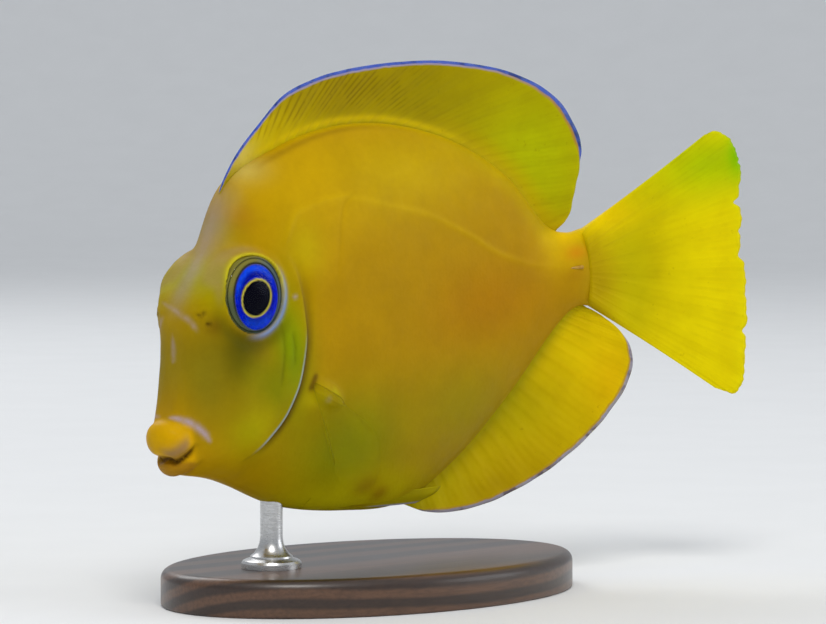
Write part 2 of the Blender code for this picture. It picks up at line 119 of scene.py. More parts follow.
# The gape from the middle of the mouth to its corner, as (arc round the mouth, height)
GAPE = [(0.0, -11.05), (0.8, -11.2), (1.7, -11.35), (3.0, -10.85), (4.3, -9.95)]
# Nostrils, as (distance, height, radius); each is sunk into the skin and darkened with painted shade
NOSTRILS = [(6.4, 3.45, 0.15), (6.65, 3.7, 0.14), (6.9, 2.5, 0.2)]

# Roots are stations on the body's ribs; margins run from the front of a fin to its rear
DORSAL_ROOT = (4.8, 11.5)
DORSAL_MARGIN = [
    (13.3, 15.4), (15.5, 18.4), (19.1, 21.4), (23.0, 24.2), (27.5, 25.6), (33.0, 26.2), (40.0, 26.2),
    (47.0, 25.5), (54.5, 23.5), (60.0, 20.1), (62.6, 15.4), (62.4, 12.3), (61.4, 9.2), (60.4, 6.6),
    (58.7, 5.3),
]
DORSAL_LEAN = 0.19
ANAL_ROOT = (8.08, 12.15)
ANAL_MARGIN = [
    (35.2, -22.0), (38.0, -23.3), (41.7, -24.0), (46.4, -23.9), (50.7, -23.0), (54.9, -21.6),
    (59.2, -19.4), (62.8, -16.8), (65.9, -13.5), (67.0, -10.4), (66.1, -7.7), (63.9, -5.4), (61.4, -3.7),
]
CAUDAL_MARGIN = [
    (77.0, -15.3), (79.6, -16.2), (80.9, -13.6), (81.5, -9.0), (81.9, -4.5), (81.7, 0.0), (81.9, 4.5),
    (82.3, 9.0), (81.9, 12.0), (79.9, 14.0), (78.2, 13.8),
]
# Notches in the tail fin's rear edge, as (height, depth, reach)
CAUDAL_NOTCHES = [
    (5.7, 0.9, 0.4), (-0.5, 0.5, 0.45), (-9.1, 0.5, 0.5), (-13.2, 0.25, 0.3), (10.2, 0.3, 0.35),
    (2.4, 0.2, 0.3),
]
PECTORAL_ROOT = ((18.9, -5.6), (22.7, -8.3))
PECTORAL_TIPS = [
    (16.2, 5.4, -12.6), (15.7, 6.3, -14.7), (17.4, 6.5, -16.3), (20.2, 5.9, -16.7), (22.9, 4.7, -15.3),
    (24.5, 3.3, -13.0), (24.6, 2.5, -11.2),
]
PECTORAL_LOBE = (2.4, 0.6, 1.2)
PELVIC_STATION = 6.2
PELVIC_LEVELS = (-0.92, -0.985)
PELVIC_TIPS = [(39.2, 1.7, -20.5), (38.2, 1.6, -21.2), (35.6, 1.3, -21.8)]
SPINE_START = (58.3, 0.9)
SPINE_LENGTH = 2.6
SPINE_RADII = (0.22, 0.03)
SPINE_SUNK = 0.12
THINNEST_HALF = 0.03

# Lines on the skin, as (distance from the snout, height)
GILL_EDGE = [
    (9.6, -12.6), (11.0, -12.0), (12.3, -11.2), (13.4, -10.3), (15.0, -8.8), (16.3, -6.9), (17.3, -4.9),
    (18.2, -1.9), (18.6, 0.2), (18.8, 3.3), (18.5, 6.0), (17.7, 7.9), (16.9, 9.4),
]
LATERAL_LINE = [
    (17.6, 9.6), (19.6, 12.2), (21.8, 12.9), (24.5, 13.2), (27.2, 13.1), (32.7, 11.5), (38.5, 9.7),
    (44.2, 6.8), (48.5, 4.2), (54.6, 1.9), (60.5, 1.2),
]
SHOULDER_CREASE = [(28.9, 13.8), (26.5, 12.7), (25.4, 11.1), (24.7, 9.0), (23.7, 5.8), (22.9, 2.7)]
CHEEK_LINE = [(15.8, 1.6), (15.6, -0.9), (15.0, -3.2), (14.4, -5.6)]
CHEEK_LINE_REAR = [(16.9, 0.6), (16.7, -1.5), (16.3, -3.6)]
LOBE_EDGE = [(21.1, -6.2), (22.1, -7.7), (22.6, -9.1)]
# The pectoral fin's armpit, darkened with painted shade
AXIL = [(19.3, -4.9), (18.9, -5.5), (18.6, -6.0)]
# Lines with the count of their places, relief and shade, each as (strength, reach, rise, fall), and tone
SKIN_LINES = [
    (LATERAL_LINE, 60, (0.07, 0.32, 0.0, 0.1), (0.30, 0.38, 0.06, 0.25), (206, 172, 10)),
    # The shoulder crease's dark tone is painted shade in the crease
    (SHOULDER_CREASE, 30, (-0.03, 0.3, 0.2, 0.3), (0.2, 0.18, 0.2, 0.5), (140, 104, 2)),
    (LOBE_EDGE, 30, (0.0, 1.0, 0.2, 0.4), (0.5, 0.4, 0.2, 0.4), (178, 170, 4)),
    (CHEEK_LINE, 30, (-0.07, 0.28, 0.2, 0.2), (0.4, 0.18, 0.2, 0.2), (78, 82, 4)),
    (CHEEK_LINE_REAR, 30, (-0.07, 0.28, 0.2, 0.2), (0.4, 0.18, 0.2, 0.2), (78, 82, 4)),
]
# Rings round the eye: strength, distance past the dark ring, reach, turn round the eye, its reach, tone
EYE_RINGS = [
    (0.6, 1.3, 0.8, -100.0, 60.0, (76, 74, 4)), (0.5, 0.80, 0.34, 125.0, 50.0, (158, 132, 84)),
    (0.9, 0.42, 0.32, -36.0, 58.0, (118, 140, 186)), (0.9, 0.25, 0.20, 75.0, 75.0, (206, 196, 40)),
    # The last ring is a painted shadow in the gap where the skin's rim meets the eyeball
    (0.7, -0.04, 0.12, 0.0, 360.0, (60, 56, 20)),
]
# Lilac stripes, as (distance, out, height)
BROW_STRIPE = [(6.9, 3.6, 4.8), (6.3, 1.3, 4.3), (6.0, -1.4, 3.4), (6.1, -2.5, 2.7), (6.4, -3.1, 1.4)]
FOREHEAD_BAND = [
    (14.4, 0.0, 16.0), (12.0, 0.0, 13.1), (10.3, 0.0, 10.4), (8.6, 0.0, 8.4), (7.4, 0.0, 6.9),
]
SNOUT_STRIPE = [(5.6, 0.2, 1.9), (5.2, 0.0, 0.0), (4.95, -0.1, -1.6)]
LIP_STRIPE = [
    (3.0, -0.2, -6.7), (3.3, -1.6, -6.8), (3.8, -2.5, -7.1), (4.6, -3.1, -7.7), (5.4, -3.5, -8.7),
    (6.1, -3.7, -9.9),
]
# Stripes with the count of their places, 1 or -1 for the other side, half width and strength
STRIPES = [
    (BROW_STRIPE, 60, 1, 0.30, 0.62), (BROW_STRIPE[2:], 40, -1, 0.30, 0.62),
    (SNOUT_STRIPE, 40, 1, 0.34, 0.38), (FOREHEAD_BAND, 60, 1, 1.4, 0.15),
    (LIP_STRIPE, 60, 1, 0.32, 0.95), (LIP_STRIPE, 60, -1, 0.32, 0.95),
]

# Soft patches of colour: distance, height, reach along, reach up, tone, strength
SKIN_GROUND = (172, 132, 2)
SKIN_PATCHES = [
    (36.0, 15.0, 17.0, 5.0, (188, 157, 2), 0.9), (23.0, 13.5, 6.0, 5.5, (190, 152, 2), 0.85),
    (20.0, 8.5, 2.4, 3.0, (186, 166, 4), 0.6), (24.0, -13.5, 9.0, 6.5, (124, 133, 2), 0.9),
    # (25.0, -19.8) below is painted light on the underside of the belly
    (25.0, -19.8, 12.0, 2.8, (194, 184, 4), 0.9), (41.0, -12.0, 10.0, 6.0, (150, 134, 2), 0.85),
    (46.5, -1.0, 11.0, 4.8, (168, 112, 1), 0.7), (30.0, 2.0, 7.0, 6.0, (170, 131, 2), 0.5),
    # (58.8, 4.8) below is a painted highlight along the top of the tail stalk
    (58.5, 3.0, 3.4, 2.6, (206, 168, 1), 0.8), (58.8, 4.8, 2.8, 0.9, (232, 190, 1), 0.8),
    (60.5, 2.6, 1.7, 0.8, (204, 126, 1), 0.75), (59.9, 0.2, 1.6, 0.8, (166, 118, 1), 0.6),
    # (63.6, 5.0) below is partly the yellow of the fin's root and partly painted light over the shadow
    # where the tail stalk meets the tail fin's upper edge
    (65.0, 0.5, 3.0, 9.0, (180, 157, 2), 1.0), (63.6, 5.0, 2.6, 1.5, (232, 202, 2), 0.9),
    (16.3, -1.5, 2.6, 7.0, (122, 143, 3), 0.95), (9.5, -2.3, 3.6, 4.4, (80, 76, 2), 0.92),
    (10.0, -0.5, 3.0, 1.7, (66, 62, 2), 0.65), (12.0, -4.4, 2.4, 2.8, (134, 132, 3), 0.7),
    (13.8, -5.6, 1.7, 3.0, (110, 122, 2), 0.6), (10.6, -9.0, 3.2, 3.0, (168, 162, 2), 0.8),
    (6.0, -3.0, 2.4, 5.4, (128, 116, 18), 0.85), (9.2, -5.6, 2.6, 2.6, (142, 124, 8), 0.5),
    (8.6, 6.8, 3.0, 4.0, (152, 146, 1), 0.95), (11.4, 13.2, 2.2, 3.2, (142, 128, 12), 0.9),
    (13.6, 13.0, 1.5, 1.6, (162, 112, 14), 0.6), (15.8, 17.9, 2.4, 1.5, (204, 184, 92), 0.85),
    (13.2, 15.2, 1.3, 1.6, (166, 138, 36), 0.6), (7.4, 2.3, 0.8, 0.9, (112, 78, 8), 0.6),
    (19.6, -7.2, 1.8, 1.1, (188, 172, 4), 0.8), (27.1, -18.2, 1.7, 1.1, (132, 90, 4), 0.65),
    (29.4, -19.5, 1.3, 0.9, (132, 86, 4), 0.65),
]
DORSAL_PATCHES = [
    (20.0, 20.5, 6.0, 3.0, (192, 170, 2), 0.8), (33.0, 24.0, 8.0, 3.0, (142, 124, 2), 0.8),
    (44.0, 22.0, 8.0, 5.0, (138, 126, 2), 0.8), (57.0, 14.0, 8.0, 8.0, (164, 171, 2), 0.95),
    (16.4, 19.0, 2.2, 1.8, (196, 178, 84), 0.85),
]
ANAL_PATCHES = [
    (38.0, -21.0, 7.0, 4.0, (190, 178, 3), 0.8), (50.0, -13.5, 7.0, 4.0, (156, 148, 2), 0.7),
    (49.0, -22.0, 7.0, 2.6, (160, 134, 2), 0.6), (62.0, -9.0, 6.0, 6.0, (212, 184, 2), 0.9),
    (64.0, -12.5, 3.0, 4.0, (214, 172, 2), 0.7),
]
CAUDAL_PATCHES = [
    (70.0, 2.0, 5.0, 12.0, (196, 182, 2), 0.8), (67.5, 0.0, 4.4, 6.0, (184, 171, 2), 0.9),
    (61.5, 0.0, 3.2, 8.0, (180, 152, 2), 1.0), (63.6, -1.0, 2.2, 4.6, (168, 140, 2), 0.55),
    (65.0, 6.0, 4.0, 1.8, (230, 200, 2), 0.85), (79.0, 10.5, 8.0, 4.0, (160, 184, 2), 0.95),
    (82.0, 11.0, 1.2, 2.6, (100, 172, 2), 0.9), (78.0, -14.0, 5.0, 3.0, (212, 192, 2), 0.6),
]

# The stand's bevels, as (on the upper rim, width, steps), and the turned rod, as (radius, height)
RIM_BEVELS = ((True, 0.0011, 8), (False, 0.0003, 3))
ROD_FOOT = [
    (0.0, 0.0), (3.2, 0.0), (3.2, 0.55), (3.05, 0.8), (2.75, 0.95), (2.3, 1.1), (2.25, 1.3),
    (1.85, 1.6), (1.5, 2.1), (1.28, 2.7), (1.2, 3.3),
]
ROD_SUNK = 0.0003

FLOOR_RADIUS = 1.1
COVE_RADIUS = 0.7
COVE_STEPS = 12
VIEW_TURN = math.radians(42.0)
VIEW_LIFT = math.radians(2.5)
VIEW_SHIFT = 0.00603
FOCAL_PIXELS = 3697.0
PICTURE_WIDTH = 826.0
SENSOR_WIDTH = 36.0
LIGHTS_AIM = (0.0, 0.0, 0.036)


def smooth(points, place):
    """Read a smooth curve through evenly placed points, at places counted from the first."""
    points = np.asarray(points, float)
    if points.ndim == 1:
        points = points[:, None]
    padded = np.vstack((2 * points[0] - points[1], points, 2 * points[-1] - points[-2]))
    place = np.clip(np.asarray(place, float), 0.0, len(points) - 1)
    index = np.minimum(place.astype(int), len(points) - 2)
    part = (place - index)[..., None]
    before, here, following, after = (padded[index + step] for step in range(4))
    return 0.5 * (
        2 * here
        + (following - before) * part
        + (2 * before - 5 * here + 4 * following - after) * part ** 2
        + (3 * here - before - 3 * following + after) * part ** 3
    )


def curve(points, count):
    """Evenly many places along a smooth curve."""
    return smooth(points, np.linspace(0.0, len(points) - 1, count))


def at_share(points, share):
    """Places at shares of a smooth curve, from 0 to 1."""
    return smooth(points, share * (len(points) - 1))


def ease(value):
    """Rise smoothly from 0 to 1 as value does."""
    value = np.clip(value, 0.0, 1.0)
    return value * value * (3.0 - 2.0 * value)


def between(value, start, rise, end, fall):
    """Rise smoothly after a start and fall smoothly towards an end."""
    return ease((value - start) / rise) * ease((end - value) / fall)


def taper(along, rise, fall):
    """Rise at the start of a line and fall at its end; without a rise the start stays whole."""
    return (ease(along / rise) if rise else 1.0) * ease((1.0 - along) / fall)


def bell(value, reach):
    """1 at zero, falling to nothing past the reach."""
    return np.exp(-((value / reach) ** 2))


def rib_point(station, level):
    """Distances and heights on the body's ribs; level runs from -1, the belly, to 1, the back."""
    back, belly = smooth(BACK, station), smooth(BELLY, station)
    share = (np.asarray(level) + 1.0)[..., None] / 2.0
    point = belly + (back - belly) * share
    point[..., 0] += smooth(BOW, station)[..., 0] * (1.0 - np.asarray(level) ** 2)
    return point


def half_width(station, level):
    """Half the body's width at points on its ribs."""
    along = ease(station / FULL_STATION)
    lower, upper = (start + (end - start) * along for start, end in (BELLY_FULLNESS, BACK_FULLNESS))
    section = np.maximum(0.0, 1.0 - np.abs(level) ** SECTION_POWER) ** np.where(level > 0, upper, lower)
    width = KEEL_HALF_WIDTH + (smooth(HALF_WIDTH, station)[..., 0] - KEEL_HALF_WIDTH) * section
    point = rib_point(station, level)
    inner, outer = ORBIT_RADII
    up = point[..., 1] - ORBIT_CENTRE[1]
    reach = np.hypot(point[..., 0] - ORBIT_CENTRE[0], up * np.where(up > 0.0, ORBIT_RISE, 1.0))
    orbit = 1.0 - ease((reach - inner) / (outer - inner))
    return width + (ORBIT_OUT - width) * orbit * ease(3.0 * section)


def on_flank(distance, height):
    """Half the body's width at distances from the snout and heights."""
    distance, height = np.asarray(distance, float), np.asarray(height, float)
    low, high = np.zeros(distance.shape), np.full(distance.shape, float(STATIONS))
    for _ in range(30):
        station = (low + high) / 2.0
        back, belly = smooth(BACK, station)[..., 1], smooth(BELLY, station)[..., 1]
        level = np.clip(2.0 * (height - belly) / (back - belly) - 1.0, -1.0, 1.0)
        ahead = rib_point(station, level)[..., 0] < distance
        low, high = np.where(ahead, station, low), np.where(ahead, high, station)
    return half_width(station, level)


def pose(points):
    """Carry points of the straight fish, in millimetres, into the pose, in metres."""
    distance, out, height = np.asarray(points, float).T
    radius = (BEND_END - BEND_START) / BEND
    bent = np.clip(distance - BEND_START, 0.0, BEND_END - BEND_START)
    heading = bent / radius
    past = np.maximum(distance - BEND_END, 0.0)
    along = distance - bent - past + radius * np.sin(heading) + past * np.cos(heading)
    swing = radius * (1.0 - np.cos(heading)) + past * np.sin(heading)
    along += out * np.sin(heading) - PIVOT_S
    x = along * math.cos(PITCH) - height * math.sin(PITCH)
    z = along * math.sin(PITCH) + height * math.cos(PITCH)
    return np.column_stack((x, out * np.cos(heading) - swing, z)) * MM


EYE_LOW, EYE_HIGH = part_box("eye_left")
EYE_MIDDLE = np.array((EYE_LOW + EYE_HIGH) / 2.0)
PIVOT = EYE_MIDDLE - pose([(ORBIT_CENTRE[0], LEFT * EYE_OUT, ORBIT_CENTRE[1])])[0]


def line_distance(points, line):
    """Signed distance from points to a line, and how far along it they lie, from 0 to 1."""
    least = np.full(len(points), np.inf)
    signed, along = np.zeros(len(points)), np.zeros(len(points))
    for index in range(len(line) - 1):
        run = line[index + 1] - line[index]
        part = np.clip((points - line[index]) @ run / (run @ run), 0.0, 1.0)
        offset = points - line[index] - part[:, None] * run
        gap = np.hypot(offset[:, 0], offset[:, 1])
        closer = gap < least
        side = np.where(run[0] * offset[:, 1] - run[1] * offset[:, 0] < 0.0, -1.0, 1.0)
        signed = np.where(closer, gap * side, signed)
        along = np.where(closer, (index + part) / (len(line) - 1), along)
        least = np.where(closer, gap, least)
    return signed, along


def nearest(points, line):
    """Distance from points to the nearest place of a line in space, and how far along that lies."""
    best, along = np.full(len(points), np.inf), np.zeros(len(points))
    for index, spot in enumerate(line):
        away = np.linalg.norm(points - spot, axis=1)
        along = np.where(away < best, index / (len(line) - 1), along)
        best = np.minimum(best, away)
    return best, along


def linear(tone):
    """A colour given from 0 to 255 as light, from 0 to 1."""
    share = np.asarray(tone, float) / 255.0
    return np.where(share <= 0.04045, share / 12.92, ((share + 0.055) / 1.055) ** 2.4)


def layered(colour, layers):
    """Lay tones over colours by shares; a tone is given from 0 to 255, or as light up to 1."""
    for share, tone in layers:
        share = np.clip(share, 0.0, 1.0)[:, None]
        light = np.asarray(tone, float) if max(tone) <= 1.0 else linear(tone)
        colour = colour * (1.0 - share) + light * share
    return colour


def painted(base, patches, points):
    """A base colour under soft patches."""
    layers = []
    for along, up, reach_along, reach_up, tone, strength in patches:
        away = ((points[:, 0] - along) / reach_along) ** 2 + ((points[:, 2] - up) / reach_up) ** 2
        layers.append((strength * np.exp(-away), tone))
    return layered(np.tile(linear(base), (len(points), 1)), layers)


def coordinates(bm):
    """The places of a bmesh's vertices."""
    return np.array([vertex.co for vertex in bm.verts])


def place(bm, points):
    """Put a bmesh's vertices at new places."""
    for vertex, point in zip(bm.verts, points):
        vertex.co = point


def rim_edges(bm):
    """The edges on a bmesh's open rims."""
    return [edge for edge in bm.edges if edge.is_boundary]


def mesh_of(name, bm):
    """Turn a bmesh into a mesh."""
    mesh = bpy.data.meshes.new(name)
    bm.to_mesh(mesh)
    bm.free()
    return mesh


def object_of(name, mesh):
    """Put a mesh in the scene."""
    obj = bpy.data.objects.new(name, mesh)
    bpy.context.scene.collection.objects.link(obj)
    return obj


def piece(name, bm, finish, nodes=()):
    """Turn a bmesh into a finished piece that rides on the model."""
    mesh = mesh_of(name, bm)
    mesh.shade_smooth()
    obj = object_of(name, mesh)
    mesh.materials.append(finish)
    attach(obj, "root")
    if nodes:
        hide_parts(*nodes)
    return obj


def store(mesh, **fields):
    """Keep numbers or colours on a mesh's vertices, for its material."""
    for name, values in fields.items():
        values = np.asarray(values, np.float32)
        kind, field = ("FLOAT", "value") if values.ndim == 1 else ("FLOAT_COLOR", "color")
        if values.ndim == 2:
            values = np.column_stack((values, np.ones(len(values), np.float32)))
        mesh.attributes.new(name, kind, "POINT").data.foreach_set(field, values.ravel())


def vectors(items, field):
    """A field of a mesh's items as rows of three numbers."""
    values = np.zeros(len(items) * 3, np.float32)
    items.foreach_get(field, values)
    return values.reshape(-1, 3).astype(float)


def move_points(mesh, points):
    """Put a mesh's vertices at new places."""
    mesh.vertices.foreach_set("co", np.asarray(points, np.float32).ravel())
    mesh.update()


def into_pose(mesh):
    """Carry a straight mesh, in millimetres, to its place in the model, in metres."""
    move_points(mesh, pose(vectors(mesh.vertices, "co")) + PIVOT)


def new_finish(name):
    """A node material, its tree and its shader."""
    finish = bpy.data.materials.new(name)
    finish.use_nodes = True
    return finish, finish.node_tree, finish.node_tree.nodes["Principled BSDF"]


def fill(made, inputs):
    """Give a node's inputs their values, or link them to sockets."""
    for key, value in inputs.items():
        if isinstance(value, bpy.types.NodeSocket):
            made.id_data.links.new(value, made.inputs[key])
        else:
            made.inputs[key].default_value = value


def node(tree, kind, inputs, **settings):
    """Add a shader node."""
    made = tree.nodes.new("ShaderNode" + kind)
    for key, value in settings.items():
        setattr(made, key, value)
    fill(made, inputs)
    return made


def attribute(tree, name, output="Fac"):
    """A socket that reads what store kept on the mesh."""
    return node(tree, "Attribute", {}, attribute_name=name).outputs[output]


def maths(tree, operation, *values):
    """The result of a Math node."""
    return node(tree, "Math", dict(enumerate(values)), operation=operation).outputs[0]


def times(tree, first, *others):
    """The product of sockets and numbers."""
    for value in others:
        first = maths(tree, "MULTIPLY", first, value)
    return first


def remap(tree, value, low, high, to_low=0.0, to_high=1.0):
    """A value carried smoothly from one range to another."""
    inputs = {"Value": value, "From Min": low, "From Max": high, "To Min": to_low, "To Max": to_high}
    return node(tree, "MapRange", inputs, interpolation_type="SMOOTHSTEP").outputs[0]


def mix(tree, share, first, second, blend="MIX"):
    """Two colours mixed by a share."""
    inputs = {0: share}
    for key, value in ((6, first), (7, second)):
        inputs[key] = value if isinstance(value, bpy.types.NodeSocket) else (*value, 1.0)
    return node(tree, "Mix", inputs, data_type="RGBA", blend_type=blend, clamp_factor=True).outputs[2]


def tinted(tree, colour, tint):
    """A colour times a tint."""
    return mix(tree, 1.0, colour, tint, "MULTIPLY")


def noise(tree, where, scale, detail, roughness=0.5, span=()):
    """A noise pattern from 0 to 1, carried smoothly through a span where one is given."""
    inputs = {"Vector": where, "Scale": scale, "Detail": detail, "Roughness": roughness}
    pattern = node(tree, "TexNoise", inputs).outputs[0]
    return remap(tree, pattern, *span) if span else pattern


def bump(tree, strength, depth, height, **normal):
    """Normals of a relief."""
    inputs = {"Strength": strength, "Distance": depth, "Height": height, **normal}
    return node(tree, "Bump", inputs).outputs[0]


def object_place(tree):
    """The place of a point on its piece."""
    return node(tree, "TexCoord", {}).outputs["Object"]


def stretched(tree, where, scale, shift=(0.0, 0.0, 0.0)):
    """Places moved and scaled, for grain that runs one way."""
    return node(tree, "Mapping", {"Vector": where, "Location": shift, "Scale": scale}).outputs[0]


def number(name, description, default, unit="LENGTH"):
    """A property with a unit."""
    return bpy.props.FloatProperty(
        name=name, description=description, default=default, precision=6, unit=unit,
    )


def tint(name, description, default):
    """A colour property."""
    return bpy.props.FloatVectorProperty(
        name=name, description=description, default=default, subtype="COLOR", min=0.0, max=1.0,
    )


class SkinSettings(bpy.types.PropertyGroup):
    mesh_size: number("Mesh size", "Size of the skin's faces", 0.000245)
    cover_lift: number("Gill cover lift", "How far the gill cover's rear edge stands off", 0.00034)
    scale_relief: number("Scale relief", "Depth of the tiny scales", 0.00002)
    mottling: bpy.props.FloatProperty(
        name="Mottling", description="Strength of the skin's uneven colour", default=0.22,
        subtype="FACTOR", min=0.0, max=1.0,
    )
    edge: tint("Gill edge", "Pale blue of the gill cover's edge", (0.38, 0.47, 0.48))
    stripe: tint("Stripes", "Lilac of the stripes on the snout and lip", (0.42, 0.33, 0.42))
    # This brown is the painted shade behind the gill cover, in the pectoral fin's armpit and in the
    # nostrils
    shade: tint("Crease shade", "Brown of the creases", (0.10, 0.045, 0.004))


class EyeSettings(bpy.types.PropertyGroup):
    ring_radius: number("Eye radius", "Radius of the dark ring round the eye", 0.00392)
    pupil: number("Pupil radius", "Radius of the pupil", 0.00180)
    iris: tint("Iris", "Blue of the iris", (0.001, 0.014, 0.92))
    iris_bright: tint("Bright iris", "Blue of the iris at its top and bottom", (0.008, 0.09, 1.0))
    pupil_ring: tint("Pupil ring", "Gold of the thin ring round the pupil", (1.0, 0.86, 0.10))


class FinSettings(bpy.types.PropertyGroup):
    membrane: number("Membrane", "Thickness of the fins' membrane", 0.00014)
    ray: number("Rays", "How far the rays stand off the membrane", 0.00006)
    margin_width: number("Blue margin", "Width of the dorsal and anal fins' blue edge", 0.00054)
    margin: tint("Margin", "Cobalt blue of the fins' edge", (0.035, 0.085, 0.46))
    margin_inner: tint("Inner margin", "Lilac line inside the blue edge", (0.27, 0.24, 0.36))
    anal_margin: tint("Anal margin", "Grey blue of the anal fin's edge", (0.25, 0.24, 0.34))


class StandSettings(bpy.types.PropertyGroup):
    wood_dark: tint("Dark grain", "Dark grain of the base's wood", (0.030, 0.013, 0.006))
    wood_light: tint("Light grain", "Light grain of the base's wood", (0.105, 0.048, 0.022))
    steel: tint("Steel", "Colour of the rod", (0.60, 0.60, 0.60))


class StudioSettings(bpy.types.PropertyGroup):
    floor: tint("Floor", "Pale colour of the floor", (0.80, 0.81, 0.82))
    key: number("Key light", "Power of the light above the front of the fish", 3.0, "POWER")
    fill: number("Fill light", "Power of the light from the side", 1.0, "POWER")
    distance: number("Camera distance", "From the camera to the fish", 0.4)


def skin_finish(settings):
    """Smooth, slightly wet skin with tiny scales, a pale gill edge, lilac stripes, and painted shade
    behind the gill cover and in the creases.
    """
    finish, tree, shader = new_finish("tang_skin")
    where = object_place(tree)
    ground = attribute(tree, "ground", "Color")
    mottle = noise(tree, where, 210.0, 4.0, 0.6, (0.32, 0.70))
    fine = noise(tree, where, 1500.0, 2.0, 0.6, (0.30, 0.72))
    darker, lighter = (tinted(tree, ground, shade) for shade in ((0.70, 0.66, 0.60), (1.16, 1.14, 1.3)))
    colour = mix(tree, settings.mottling, ground, mix(tree, mottle, darker, lighter))
    colour = mix(tree, times(tree, fine, 0.22), colour, tinted(tree, colour, (0.86, 0.84, 0.8)))

    gill = attribute(tree, "gill")
    # Painted shadow behind the gill cover's edge
    behind = times(tree, remap(tree, gill, -1.3, -0.1), remap(tree, gill, 0.25, 0.0))
    colour = mix(tree, times(tree, behind, attribute(tree, "gill_shade")), colour, settings.shade)
    edge = times(tree, remap(tree, gill, -0.12, 0.02), remap(tree, gill, 0.48, 0.16))
    colour = mix(tree, times(tree, edge, attribute(tree, "gill_reach")), colour, settings.edge)
    wobble = noise(tree, where, 900.0, 2.0, 0.5, (0.3, 0.65, 0.45, 1.0))
    colour = mix(tree, times(tree, attribute(tree, "stripe"), wobble), colour, settings.stripe)
    # Painted shade in the pectoral fin's armpit and in the nostrils, in the crease brown
    colour = mix(tree, attribute(tree, "crease"), colour, settings.shade)

    scales = node(tree, "TexVoronoi", {"Vector": where, "Scale": 2300.0, "Randomness": 0.75})
    pits = maths(tree, "ADD", scales.outputs["Distance"], times(tree, fine, 0.6))
    relief = bump(tree, 0.5, settings.scale_relief, pits)
    fill(shader, {
        "Base Color": colour,
        "Normal": bump(tree, 0.5, 0.00012, noise(tree, where, 320.0, 3.0), Normal=relief),
        "Roughness": noise(tree, where, 600.0, 3.0, 0.5, (0.3, 0.7, 0.42, 0.56)),
        "Specular IOR Level": 0.08,
        "Specular Tint": (1.0, 0.82, 0.2, 1.0),
        "Coat Weight": 0.02,
        "Coat Roughness": 0.25,
        "Subsurface Weight": 0.12,
        "Subsurface Radius": (1.0, 0.6, 0.1),
        "Subsurface Scale": 0.0006,
    })
    return finish


def fin_finish(name, settings, margin=None, clear=0.0, streaks=0.5):
    """Thin fin membrane with fine rays, thin dark streaks between them and a coloured edge."""
    finish, tree, shader = new_finish(name)
    where = object_place(tree)
    ground, ray = attribute(tree, "ground", "Color"), attribute(tree, "ray")
    deep = tinted(tree, ground, (0.46, 0.40, 0.3))
    pale = tinted(tree, ground, (1.12, 1.10, 1.1))
    patchy = noise(tree, where, 240.0, 3.0, 0.6, (0.36, 0.58))
    streak = times(tree, attribute(tree, "gap"), attribute(tree, "fold"), times(tree, patchy, streaks))
    colour = mix(tree, times(tree, remap(tree, ray, 0.35, 1.0), 0.2), ground, pale)
    cloud = noise(tree, where, 260.0, 3.0, 0.6, (0.35, 0.7, 0.0, 0.16))
    speck = noise(tree, where, 1500.0, 2.0, 0.6, (0.66, 0.80, 0.0, 0.35))
    for share in (streak, cloud, speck):
        colour = mix(tree, share, colour, deep)
    if margin:
        outer_colour, inner_colour = margin
        uneven = times(tree, maths(tree, "SUBTRACT", noise(tree, where, 700.0, 2.0), 0.5), 0.35)
        depth = maths(tree, "ADD", attribute(tree, "depth"), uneven)
        share = attribute(tree, "margin")
        width = maths(tree, "MAXIMUM", times(tree, share, settings.margin_width / MM), 0.02)
        depth = maths(tree, "DIVIDE", depth, width)
        front = node(tree, "SeparateXYZ", {0: where}).outputs[0]
        tone = mix(tree, remap(tree, front, 0.002, 0.018), inner_colour, (0.34, 0.20, 0.03))
        colour = mix(tree, times(tree, remap(tree, depth, 1.9, 1.3), share), colour, tone)
        dark = tinted(tree, outer_colour, (0.3, 0.25, 0.32))
        blotch = noise(tree, where, 520.0, 2.0, 0.6, (0.48, 0.66, 0.0, 0.85))
        outer = times(tree, remap(tree, depth, 1.2, 0.8), remap(tree, share, 0.0, 0.25))
        colour = mix(tree, outer, colour, mix(tree, blotch, outer_colour, dark))
    fill(shader, {
        "Base Color": colour,
        "Normal": bump(tree, 0.4, 0.00004, noise(tree, where, 1700.0, 3.0)),
        "Roughness": 0.48,
        "Specular IOR Level": 0.08,
        "Specular Tint": (1.0, 0.85, 0.2, 1.0),
        "Subsurface Weight": 0.35,
        "Subsurface Radius": (1.0, 0.8, 0.15),
        "Subsurface Scale": 0.0008,
    })
    if clear:
        out = attribute(tree, "out")
        solid = remap(tree, out, 0.0, 0.1, 0.3, 1.0 - clear)
        solid = maths(tree, "ADD", times(tree, ray, 0.08), solid)
        alpha = times(tree, solid, remap(tree, out, 1.0, 0.7, 0.35, 1.0))
        alpha.node.use_clamp = True
        fill(shader, {"Alpha": alpha})
    return finish


def tube(bm, segments, sides):
    """A grid to be wrapped into a tube: shares along it and turns round it."""
    bmesh.ops.create_grid(bm, x_segments=segments, y_segments=sides, size=0.5)
    grid = coordinates(bm)
    return grid[:, 0] + 0.5, WHOLE_TURN * (grid[:, 1] + 0.5)


def close_tube(bm, gap=1e-4):
    """Join a wrapped tube along its seam and close its two ends."""
    bmesh.ops.remove_doubles(bm, verts=bm.verts, dist=gap)
    bmesh.ops.holes_fill(bm, edges=rim_edges(bm))
    bmesh.ops.recalc_face_normals(bm, faces=bm.faces)


def turned(profile, steps):
    """A profile, as (radius, height), turned once round the upright axis."""
    bm = bmesh.new()
    row = [bm.verts.new((radius, 0.0, height)) for radius, height in profile]
    edges = [bm.edges.new(pair) for pair in zip(row, row[1:])]
    bmesh.ops.spin(
        bm, geom=row + edges, angle=WHOLE_TURN, steps=steps, axis=(0, 0, 1), cent=(0, 0, 0), use_merge=True
    )
    return bm


